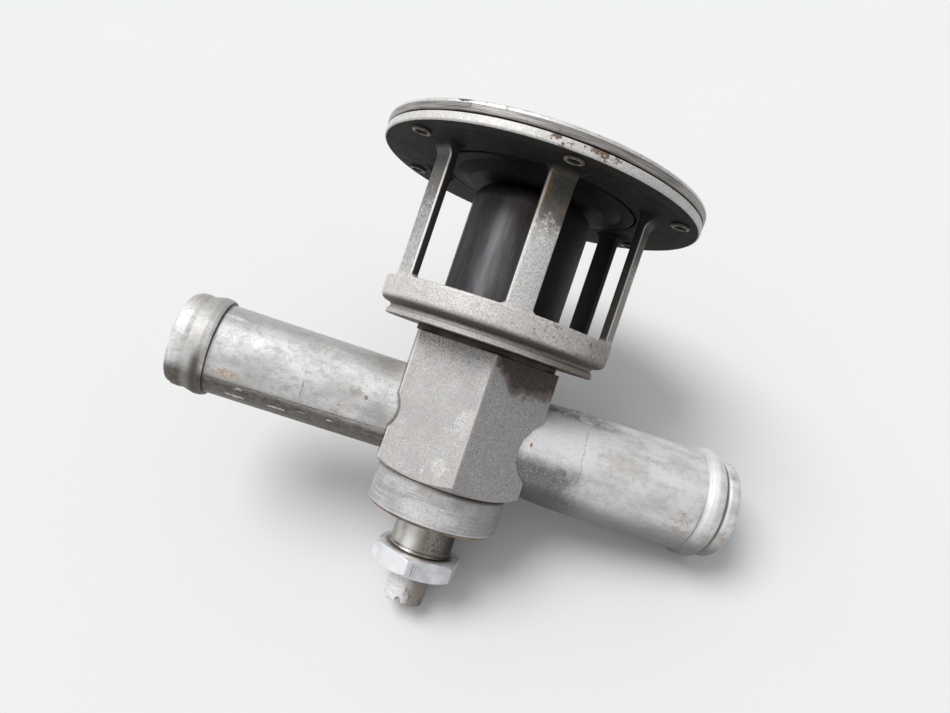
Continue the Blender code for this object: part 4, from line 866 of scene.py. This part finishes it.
def cup_look():
    """Dark purple-grey with a painted highlight at the left, brown and speckled at the top, and
    painted shade on its far side, left edge, top and foot.
    """
    look = Finish("dark_drawn_cup", 0.6, 0.40, 0.25)
    fine = look.noise(0.22, 3, 0.65)
    streak = look.noise(1.4, 3, 0.55, (1, 1, 6), 3)
    edge = look.noise(1.3, 4, 0.65, shift=15)
    look.ground(streak.ramp(0.35, 0.68), (0.060, 0.055, 0.060), (0.100, 0.092, 0.100))
    # A painted highlight down the left of the cup.
    pale_patch = (look.x + 5.9).size().ramp(2.6, 0.2) * look.y.ramp(-3.0, -6.0)
    pale_patch = pale_patch * look.z.ramp(41.0, 35.5) * (streak.ramp(0.25, 0.65) * 0.5 + 0.5)
    look.coat(pale_patch * 0.75, (0.265, 0.255, 0.270))
    look.coat(fine.ramp(0.55, 0.70) * 0.35, (0.24, 0.23, 0.235))
    high = look.z.ramp(32.0, 40.5) * look.x.ramp(-5.5, -2.0)
    look.coat(high * edge.ramp(0.35, 0.60) * 0.75, (0.095, 0.068, 0.048))
    look.coat(high * fine.ramp(0.60, 0.68) * 0.6, (0.36, 0.31, 0.27))
    # Painted shade on the far side of the cup, inside the cage.
    far = look.x.ramp(0.5, 4.5)
    look.coat(far * 0.93, (0.008, 0.007, 0.007))
    # Painted shade at the left edge, under the top and at the foot.
    look.coat(look.x.ramp(-8.3, -10.4) * 0.6, (0.030, 0.028, 0.028))
    look.coat(look.z.ramp(40.6, 42.6) * 0.9, (0.016, 0.014, 0.013))
    look.coat(look.z.ramp(22.4, 21.0) * 0.6, (0.04, 0.036, 0.034))
    rough = (edge - 0.5) * 0.2 + 0.40 + high * 0.12 + far * 0.2
    return look.finish(rough, fine * 0.014 + streak * 0.02, metal=0.6 - far * 0.5)


CUP_RADIUS, CUP_INSIDE, CUP_FOOT, CUP_TOP = 10.9, 10.0, 20.4, 43.1

lifting_cup = turned_piece("lifting_cup", [
    (STUD_HOLE, CUP_TOP, 0.05), (STUD_HOLE, 42.2, 0.05), (CUP_INSIDE, 42.2, 2.1),
    (CUP_INSIDE, CUP_FOOT, 0.1), (CUP_RADIUS, CUP_FOOT, 0.15), (CUP_RADIUS, CUP_TOP, 3.0)],
    cup_look(), 10)
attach(lifting_cup, "lift")
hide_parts("valve_cup")


# Seat ring and cage gasket
# Two rubber rings: the cup closes on the one let into the top of the neck, and the other fills the
# dark gap between the hexagon and the cage's foot.

def flat_ring(name, inner, outer, foot, top, edges, look):
    """A ring of rectangular section, its four corners rounded by edges."""
    spots = [(inner, foot), (outer, foot), (outer, top), (inner, top)]
    return turned_piece(name, [(*spot, edge) for spot, edge in zip(spots, edges)], look, 4, 96)


seat_rubber = flat_ring("seat_rubber", 9.25, 11.65, 18.65, 20.15, (0.1, 0.1, 0.2, 0.2),
                        rubber_look("seat_rubber", 0.5))
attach(seat_rubber, "valve")
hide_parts("seat_ring")

foot_gasket = flat_ring("foot_gasket", 12.42, 13.2, 14.33, 15.37, (0.1, 0.2, 0.2, 0.1),
                        rubber_look("gasket_rubber", 0.6, 0.7))
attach(foot_gasket, "valve")
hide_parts("cage_gasket")


# Regulating spring
# A pull spring of round wire, hooked to the stud's eye above and round the anchor's pin below. It
# is built as two halves that meet in the middle.

WIRE_RADIUS, COIL_RADIUS, COILS = 0.45, 3.2, 9
COIL_FOOT, COIL_TOP = 1.15, 26.625
PIN_HOOK, PIN_LEVEL = 1.47, -2.25
EYE_HOOK, EYE_LEVEL = 2.47, 28.555


def spring_line():
    """Lower hook, nine coils and upper hook, as one row of points in millimetres."""
    low_hook = np.radians(np.linspace(160, 360, 25))
    low = np.stack([PIN_HOOK * np.cos(low_hook), 0 * low_hook,
                    PIN_LEVEL + PIN_HOOK * np.sin(low_hook)], 1)
    share = np.linspace(0, 1, 10)[1:-1]
    rise = np.stack([PIN_HOOK + (COIL_RADIUS - PIN_HOOK) * share, 0 * share,
                     PIN_LEVEL + (COIL_FOOT - PIN_LEVEL) * share], 1)
    turn = np.linspace(0, COILS * math.tau, COILS * 40)
    coil = np.stack([COIL_RADIUS * np.cos(turn), COIL_RADIUS * np.sin(turn),
                     COIL_FOOT + (COIL_TOP - COIL_FOOT) * turn / turn[-1]], 1)
    swing = share * math.pi / 2
    inward = COIL_RADIUS + (EYE_HOOK - COIL_RADIUS) * share
    lead = np.stack([inward * np.cos(swing), inward * np.sin(swing),
                     COIL_TOP + (EYE_LEVEL - COIL_TOP) * share], 1)
    hook = np.radians(np.linspace(0, 250, 36))
    high = np.stack([0 * hook, EYE_HOOK * np.cos(hook), EYE_LEVEL + EYE_HOOK * np.sin(hook)], 1)
    return np.concatenate([low, rise, coil, lead, high])


def wire(line, radius, sides=12):
    """A round wire: circles square to the line, their frames kept near the Z axis's side."""
    ahead = np.gradient(line, axis=0)
    ahead /= np.linalg.norm(ahead, axis=1)[:, None]
    axis = line * [1, 1, 0] + [0.001, 0.0007, 0]
    axis[:, 2] = 0
    first = np.cross(ahead, np.where(np.abs(ahead[:, :1]) > 0.9, [[0, 1.0, 0]], axis))
    small = np.linalg.norm(first, axis=1) < 0.2
    first[small] = np.cross(ahead[small], [0.3, 1.0, 0.2])
    first /= np.linalg.norm(first, axis=1)[:, None]
    second = np.cross(ahead, first)
    turn = np.arange(sides) * math.tau / sides
    points = line[:, None] + radius * (first[:, None] * np.cos(turn)[:, None]
                                       + second[:, None] * np.sin(turn)[:, None])
    return points, rod_faces(*points.shape[:2])


coil_line = spring_line()
middle = len(coil_line) // 2
spring_steel = plated_look("oiled_spring_steel", (0.40, 0.39, 0.38), 0.34)
spring_foot = skin("spring_foot", [wire(coil_line[:middle + 1], WIRE_RADIUS)], spring_steel)
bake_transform(spring_foot)
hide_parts("regulating_spring")
spring_head = skin("spring_head", [wire(coil_line[middle:], WIRE_RADIUS)], spring_steel)
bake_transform(spring_head)


# Spring anchor and pin
# A small turned cup that slides in the end cap and carries a cross pin for the spring. The head of
# the adjusting screw pulls on its floor.

anchor_metal = plated_look("turned_anchor", (0.55, 0.54, 0.52), 0.4)
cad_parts["spring_anchor"].material_slots[0].material = anchor_metal
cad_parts["anchor_pin"].material_slots[0].material = inner_steel


# End cap
# A turned collar that screws up into the body. Fine turning lines run round it, and the chamfer at
# its foot has gone brown, deepened by painted shade.

def end_cap_look():
    """Turning lines and grain, painted darker and bluish to the right as shade, and brown with
    painted shade in the gap and on the chamfer.
    """
    look = Finish("turned_end_cap", 0.3, 0.52, 0.3)
    lines = look.noise(0.16, 3, 0.6, (40, 40, 1), 2)
    grain = look.noise(0.27, 3, 0.7, shift=7)
    cloud = look.noise(3.0, 4, 0.6, shift=5)
    look.ground(cloud.ramp(0.35, 0.68), (0.42, 0.41, 0.415), (0.58, 0.57, 0.575))
    look.coat(lines.ramp(0.46, 0.62) * 0.6, (0.74, 0.73, 0.735))
    # Darker and bluish to the right: painted shade with a cool tone.
    look.coat(look.x.ramp(1.0, 9.0) * 0.5, (0.30, 0.305, 0.325))
    look.coat(grain.ramp(0.54, 0.66) * 0.6, (0.20, 0.195, 0.195))
    pale_patch = look.patch((-2.0, -11.8, -14.5), (5.0, 2.5, 1.7), cloud, 2.6) * grain.ramp(0.38, 0.55)
    look.coat(pale_patch * 0.65, (0.85, 0.84, 0.83))
    rust = look.patch((-4.1, -11.2, -10.9), (0.8, 0.8, 0.5), grain, 4.5)
    look.coat(rust * 0.4, (0.45, 0.26, 0.17))
    # Brown in the gap under the hexagon, deepened towards the right by painted shade.
    top = look.z.ramp(-10.7, -10.15) * (look.x.ramp(-6.0, 4.0) * 0.5 + 0.4)
    look.coat(top, (0.085, 0.065, 0.050))
    # The chamfer brown, darkened further by painted shade.
    chamfer = look.z.ramp(-16.28, -16.40)
    look.coat(chamfer * 0.85, cloud.ramp(0.4, 0.6).paint((0.14, 0.095, 0.06), (0.30, 0.22, 0.13)))
    crest = look.z.between(-16.30, -16.12, 0.06) * grain.ramp(0.3, 0.5)
    look.coat(crest * 0.7, (0.80, 0.75, 0.70))
    return look.finish(cloud * 0.2 + 0.42, lines * 0.03 + grain * 0.03)


def seal_levels(node):
    """Foot and top of a seal's groove in millimetres: the seal's own box and a small gap."""
    low, high = np.array(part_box(node)) / MILLIMETRE
    return low[2] - SEAL_GAP, high[2] + SEAL_GAP


SEAL_GAP, SEAL_WIDTH = 0.05, 1.6
SPIGOT_RADIUS, SPIGOT_TOP = 7.9, -6.0
COLLAR_RADIUS, COLLAR_TOP, COLLAR_FOOT = 12.0, -9.95, -16.95
CAP_FLOOR = -12.55
groove_foot = seal_levels("end_cap_o_ring")[0]
groove_inside = (SPIGOT_RADIUS + COLLAR_RADIUS - SEAL_WIDTH) / 2
groove_outside = groove_inside + SEAL_WIDTH

cap_collar = turned_piece("cap_collar", [
    (6.4, SPIGOT_TOP, 0.1), (6.4, CAP_FLOOR, 0.1), (5.25, CAP_FLOOR, 0.1),
    (5.25, COLLAR_FOOT, 0.1), (11.4, COLLAR_FOOT, 0.12), (COLLAR_RADIUS, -16.35, 0.12),
    (COLLAR_RADIUS, COLLAR_TOP, 0.15), (groove_outside, COLLAR_TOP, 0.1),
    (groove_outside, groove_foot, 0.1), (groove_inside, groove_foot, 0.1),
    (groove_inside, COLLAR_TOP, 0.1), (SPIGOT_RADIUS, COLLAR_TOP, 0.1),
    (SPIGOT_RADIUS, SPIGOT_TOP, 0.2)], end_cap_look())
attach(cap_collar, "valve")
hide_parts("end_cap")
for node in ("end_cap_o_ring", "screw_o_ring"):
    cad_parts[node].material_slots[0].material = rubber_look(node + "_rubber", 0.2)


# Screw bushing
# A bright turned steel bushing that carries the screw's thread. It has a painted highlight on its
# left, a painted brown reflection in the middle, and painted shade and dark specks on its right.

def bushing_look():
    """A painted highlight on the left, a painted brown reflection, painted shade and black specks
    on the right, a stained foot and a darker top.
    """
    look = Finish("bright_turned_steel", 0.85, 0.22)
    lines = look.noise(0.12, 2, 0.5, (60, 60, 1), 2)
    cloud = look.noise(2.0, 4, 0.6, (1, 1, 1.6), 5)
    speck = look.noise(0.55, 3, 0.7, shift=12)
    look.ground(cloud.ramp(0.35, 0.7), (0.50, 0.47, 0.43), (0.72, 0.70, 0.67))
    # A painted highlight down the left.
    highlight_band = look.x.between(-3.7, -2.0, 0.7) * look.y.ramp(0.0, -2.0)
    look.coat(highlight_band * 0.85, (0.96, 0.95, 0.92))
    # Painted shade at the left edge.
    left_edge_shade = look.x.ramp(-4.2, -5.3)
    look.coat(left_edge_shade * 0.6, (0.34, 0.31, 0.28))
    # A painted brown reflection in the middle.
    brown_reflection = look.x.between(-1.0, 0.6, 0.7) * cloud.ramp(0.3, 0.5)
    look.coat(brown_reflection * 0.7, (0.24, 0.175, 0.125))
    # Painted shade on the right, with black specks, near black at the edge.
    right = (look.x + (cloud - 0.5) * 4.0).ramp(0.6, 3.2)
    look.coat(right * 0.85, (0.085, 0.068, 0.054))
    look.coat(speck.ramp(0.54, 0.64) * look.x.ramp(-1.0, 1.5) * 0.8, (0.030, 0.026, 0.022))
    look.coat(look.x.ramp(2.6, 4.6) * 0.85, (0.022, 0.018, 0.015))
    foot = look.z.between(-22.75, -22.45, 0.12)
    look.coat(foot * 0.75, (0.22, 0.18, 0.135))
    top = look.z.ramp(-18.1, -17.3)
    look.coat(top * 0.75, (0.15, 0.11, 0.08))
    rough = cloud * 0.16 + 0.14 + right * 0.2
    return look.finish(rough, lines * 0.01 + speck * 0.012, metal=0.85 - highlight_band * 0.6)


SCREW_BORE, BUSHING_RADIUS, BUSHING_FOOT, BUSHING_TOP = 3.85, 5.66, -23.2, -12.6
groove_foot, groove_top = seal_levels("screw_o_ring")

steel_bushing = turned_piece("steel_bushing", [
    (SCREW_BORE, BUSHING_TOP, 0.1), (SCREW_BORE, groove_top, 0.1), (4.85, groove_top, 0.1),
    (4.85, groove_foot, 0.1), (SCREW_BORE, groove_foot, 0.1), (SCREW_BORE, BUSHING_FOOT, 0.15),
    (5.85, BUSHING_FOOT, 0.15), (5.85, -22.8, 0.15), (BUSHING_RADIUS, -22.6, 0.15),
    (BUSHING_RADIUS, -17.2, 0.1), (5.0, -17.2, 0.1), (5.0, BUSHING_TOP, 0.1)],
    bushing_look(), sides=112)
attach(steel_bushing, "valve")
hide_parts("screw_bushing")


# Lock nut
# A thin zinc-plated hexagon nut, chamfered on both faces and dented by spanners at its corners. It
# is jammed up against the bushing.

def nut_look():
    """Pale zinc with a white rub, painted light on its left face, two lines pressed in its front
    face, and brown by the joint.
    """
    look = Finish("bright_zinc", 0.35, 0.38, 0.5)
    fine = look.noise(0.25, 3, 0.6)
    cloud = look.noise(1.8, 3, 0.55, shift=4)
    look.ground(cloud.ramp(0.35, 0.68), (0.76, 0.77, 0.80), (0.94, 0.945, 0.96))
    look.coat(fine.ramp(0.58, 0.70) * 0.25, (0.46, 0.47, 0.50))
    scratch = look.noise(0.5, 2, 0.5, (4, 1, 1), 9).ramp(0.66, 0.71)
    white = look.patch((2.9, -6.9, -24.35), (0.8, 0.8, 0.28), fine, 1.0)
    look.coat((scratch * 0.7).most(white), (0.97, 0.97, 0.98))
    # The left face painted brighter: painted light.
    bright = look.x.ramp(-1.9, -2.6) * look.y.ramp(-3.0, -4.5)
    look.coat(bright * 0.6, (0.97, 0.97, 0.98))
    face = look.x * 0.966 + look.y * 0.259
    groove = (face + 2.93).size().ramp(0.15, 0.06).most((face + 2.4).size().ramp(0.12, 0.05) * 0.7)
    groove = groove * look.y.ramp(-6.4, -6.9) * look.z.between(-26.4, -24.1, 0.2)
    look.coat(groove * 0.65, (0.30, 0.31, 0.34))
    top = look.z.ramp(-23.62, -23.48) * look.radius.ramp(6.7, 6.1)
    look.coat(top * 0.75, (0.30, 0.25, 0.20))
    dents = look.noise(1.5, 2, 0.5, shift=20)
    return look.finish(cloud * 0.2 + 0.28, fine * 0.015 + dents * 0.12 - groove * 0.08)


def hexagon_nut(apothem, bottom, top, bore, turn):
    """A nut: at each angle and height, the least of the hexagon's radius and two chamfer cones.

    The least is taken softly, as -k log(sum of exp(-radius / k)), which rounds every edge.
    """
    columns, sharpness, soft = 288, 90, 0.045
    angle = np.arange(columns) * math.tau / columns
    share = (1 - np.cos(np.linspace(0, math.pi, 64))) / 2
    height = bottom + (top - bottom) * share
    flats = turn + np.arange(6) * math.tau / 6
    facing = np.clip(np.cos(angle[:, None] - flats), 0, 1) ** sharpness
    hexagon = apothem / facing.sum(1) ** (1 / sharpness)
    cone_top = apothem + 0.35 + (top - height) * math.sqrt(3)
    cone_foot = apothem + 0.05 + (height - bottom) * math.sqrt(3)
    sizes = np.stack(np.broadcast_arrays(hexagon[None, :], cone_top[:, None], cone_foot[:, None]))
    side = -soft * np.log(np.exp(-(sizes - apothem) / soft).sum(0)) + apothem
    chamfer = 0.3
    rows = [np.full((1, columns), inner) for inner in (bore + chamfer, bore, bore, bore + chamfer)]
    levels = [height, [top], [top - chamfer], [bottom + chamfer], [bottom]]
    radius = np.concatenate([side] + rows)
    level = np.broadcast_to(np.concatenate(levels)[:, None], radius.shape)
    points = np.stack([radius * np.cos(angle), radius * np.sin(angle), level], axis=-1)
    return points, ring_faces(*radius.shape).tolist()


jam_nut = skin("jam_nut", [hexagon_nut(apothem=7.35, bottom=-26.9, top=-23.45, bore=SCREW_BORE,
                                       turn=math.radians(-15))], nut_look(), 50)
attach(jam_nut, "nut")
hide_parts("lock_nut")


# Adjusting screw
# The slotted screw that sets the spring. Its tip is chalky with white corrosion, the thread there
# is nearly filled, and the slot's lips are broken and ragged.

def screw_look():
    """Chalky white at the left, brown-grey with dark spots at the right, and black painted shade
    in the slot.
    """
    look = Finish("corroded_screw", 0.15, 0.65, 0.3)
    fine = look.noise(0.22, 4, 0.7)
    cloud = look.noise(0.9, 4, 0.65, (1, 1, 2), 4)
    look.ground(fine.ramp(0.32, 0.62), (0.58, 0.565, 0.56), (0.95, 0.94, 0.945))
    stain = (look.x + (cloud - 0.5) * 2.4).ramp(-1.1, 1.2)
    look.coat(stain * 0.8, (0.27, 0.22, 0.185))
    spots = cloud.ramp(0.56, 0.64) * look.x.ramp(-1.4, 0.2)
    look.coat(spots * 0.75, (0.10, 0.075, 0.06))
    # Painted shade black in the slot.
    across = (look.x * 0.934 - look.y * 0.358).size()
    deep = across.ramp(0.62, 0.42) * look.z.ramp(-32.0, -32.5)
    look.coat(deep * 0.8, (0.05, 0.045, 0.04))
    return look.finish(fine * 0.2 + 0.5, fine * 0.08 + cloud * 0.08)


SCREW_RADIUS, SCREW_TIP, THREAD_TOP, PITCH = 3.54, -33.35, -9.7, 1.058
SLOT_TURN, SLOT_DEPTH, SLOT_HALF_WIDTH = math.radians(21), 1.1, 0.45


def ragged(x, y):
    """Height of the broken end over its lowest point: crossing waves plus the slot's depth.

    The slot's depth falls off as 1 / (1 + e^t) at each lip, t being the distance past the lip.
    """
    waves = np.sin(2.1 * x + 1.3) * np.cos(1.7 * y - 0.4) + 0.6 * np.sin(4.3 * x - 2.9 * y + 0.8) \
        + 0.4 * np.sin(7.9 * x + 6.1 * y) + 0.25 * np.cos(12.7 * x - 11.3 * y)
    across = np.abs(x * math.cos(SLOT_TURN) - y * math.sin(SLOT_TURN))
    slot = SLOT_DEPTH / (1 + np.exp(np.minimum((across - SLOT_HALF_WIDTH) / 0.06, 60)))
    outer = np.maximum(np.hypot(x, y) - 3.15, 0) * 0.7
    return np.maximum(0.36 + 0.16 * waves + outer, 0.0) + slot


def screw_shells():
    """The stem with a shallow thread, a height field for its slotted end, and journal and head.

    The thread's radius falls and rises with height / pitch - angle / full turn.
    """
    columns = 144
    angle = np.arange(columns) * math.tau / columns
    share = np.sort(np.concatenate([np.linspace(0, 0.5, 80) ** 1.2, np.linspace(0.46, 1, 100)]))
    end = SCREW_TIP + ragged(SCREW_RADIUS * np.cos(angle), SCREW_RADIUS * np.sin(angle))
    level = end + share[:, None] * (THREAD_TOP - end)
    phase = (level / PITCH - angle / math.tau) * math.tau
    worn = np.clip((level + 33.1) / 2.2, 0, 1)
    radius = SCREW_RADIUS + worn * 0.04 * np.cos(phase) + 0.02 * np.sin(3 * angle + level)
    radius[0] = SCREW_RADIUS
    stem = np.stack([radius * np.cos(angle), radius * np.sin(angle), level], axis=-1)
    reach = np.linspace(SCREW_RADIUS, 0.02, 44)[1:, None]
    x, y = reach * np.cos(angle), reach * np.sin(angle)
    face = np.stack([x, y, SCREW_TIP + ragged(x, y)], axis=-1)
    points = np.concatenate([face[::-1], stem])
    head = turned(rounded([
        (0.0, -5.05, 0.01), (0.0, -9.9, 0.01), (2.4, -9.9, 0.05), (2.4, -6.65, 0.05),
        (3.9, -6.65, 0.1), (3.9, -5.05, 0.4)], 4), 64)
    return [(points, rod_faces(len(points), columns)), head]


slotted_screw = skin("slotted_screw", screw_shells(), screw_look(), 60)
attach(slotted_screw, "screw")
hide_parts("adjusting_screw")


# Floor, light and camera
# A plain pale floor on which the valve would come to rest: on its screw tip, the nut's rear corner
# and the larger bead. A broad soft lamp stands high on the left, where the sky is lighter too.

CAMERA_PLACE = np.array([-0.015788, -0.124092, 0.013109])
RIGHT = np.array([0.9414, -0.1073, 0.3197])
DOWN = np.array([0.3174, -0.0383, -0.9475])
AHEAD = np.array([0.1140, 0.9935, -0.0020])
FLOOR_UP = np.array([-0.2675, -0.7592, 0.5933])
FLOOR_LEVEL = -0.0226
FLOOR_HALF_WIDTH = 2.5
LAMP_SIDE = -DOWN * 0.70 - RIGHT * 0.36 - AHEAD * 0.62


def framed(right, up, back, place):
    """An orthonormal placing matrix from rough right, up and back directions."""
    back = back / np.linalg.norm(back)
    right = right - back * right.dot(back)
    right = right / np.linalg.norm(right)
    made = np.eye(4)
    made[:3, :3] = np.stack([right, np.cross(back, right), back], axis=1)
    made[:3, 3] = place
    return Matrix(made.tolist())


def add_floor():
    """A large square across FLOOR_UP, pale to the eye and in reflections, unseen from below."""
    look = Finish("pale_floor", 0.0, 0.9, 0.0)
    pale = look.noise(40.0, 2).paint((0.78, 0.78, 0.78), (0.80, 0.80, 0.80))
    bounce = pale.node("LightPath", {}, {}, 2)
    look.colour = bounce.paint(pale, (0.34, 0.34, 0.34))
    look.finish()
    behind = pale.node("NewGeometry", {}, {}, 6)
    clear = pale.node("BsdfTransparent", {}, {})
    shader = Wire(look.tree, look.shader.outputs[0])
    shown = pale.node("MixShader", {}, {0: behind, 1: shader, 2: clear})
    output = look.tree.nodes["Material Output"]
    look.tree.links.new(shown.socket, output.inputs["Surface"])
    side = np.array([[-1, -1], [1, -1], [1, 1], [-1, 1]]) * FLOOR_HALF_WIDTH
    across = np.cross(FLOOR_UP, [0, 0, 1.0])
    across /= np.linalg.norm(across)
    along = np.cross(FLOOR_UP, across)
    points = FLOOR_UP * FLOOR_LEVEL + side[:, :1] * across + side[:, 1:] * along
    mesh = bpy.data.meshes.new("floor")
    mesh.from_pydata(points.tolist(), [], [[0, 1, 2, 3]])
    if np.dot(mesh.polygons[0].normal, FLOOR_UP) < 0:
        mesh.flip_normals()
    mesh.materials.append(look.material)
    placed("floor", mesh)


def light_scene():
    """One broad lamp like a bright cloud, and a sky that grows lighter towards it."""
    data = bpy.data.lights.new("key_lamp", "SUN")
    data.energy = 1.9
    data.angle = math.radians(32)
    lamp = placed("key_lamp", data)
    lamp.matrix_world = framed(RIGHT, -DOWN, LAMP_SIDE, LAMP_SIDE * 0.5)
    world = bpy.data.worlds.new("studio")
    bpy.context.scene.world = world
    world.use_nodes = True
    start = Wire(world.node_tree)
    towards = start.node("TexCoord", {}, {}, 0)
    facing = towards.node("VectorMath", {"operation": "DOT_PRODUCT"},
                          {0: towards, 1: tuple(LAMP_SIDE.tolist())}, 1)
    strength = facing.ramp(-0.4, 1.0) * 0.50 + 0.20
    background = world.node_tree.nodes["Background"]
    background.inputs["Color"].default_value = (0.98, 0.99, 1.0, 1.0)
    world.node_tree.links.new(strength.socket, background.inputs["Strength"])


def add_camera():
    """A 26 mm lens at the place from which the photograph was taken."""
    data = bpy.data.cameras.new("camera")
    data.lens = 26.03
    data.sensor_width = 36.0
    data.clip_start = 0.005
    data.clip_end = 20.0
    camera = placed("camera", data)
    camera.matrix_world = framed(RIGHT, -DOWN, -AHEAD, CAMERA_PLACE)
    bpy.context.scene.camera = camera


add_floor()
light_scene()
add_camera()
bpy.context.scene.view_settings.view_transform = "Standard"
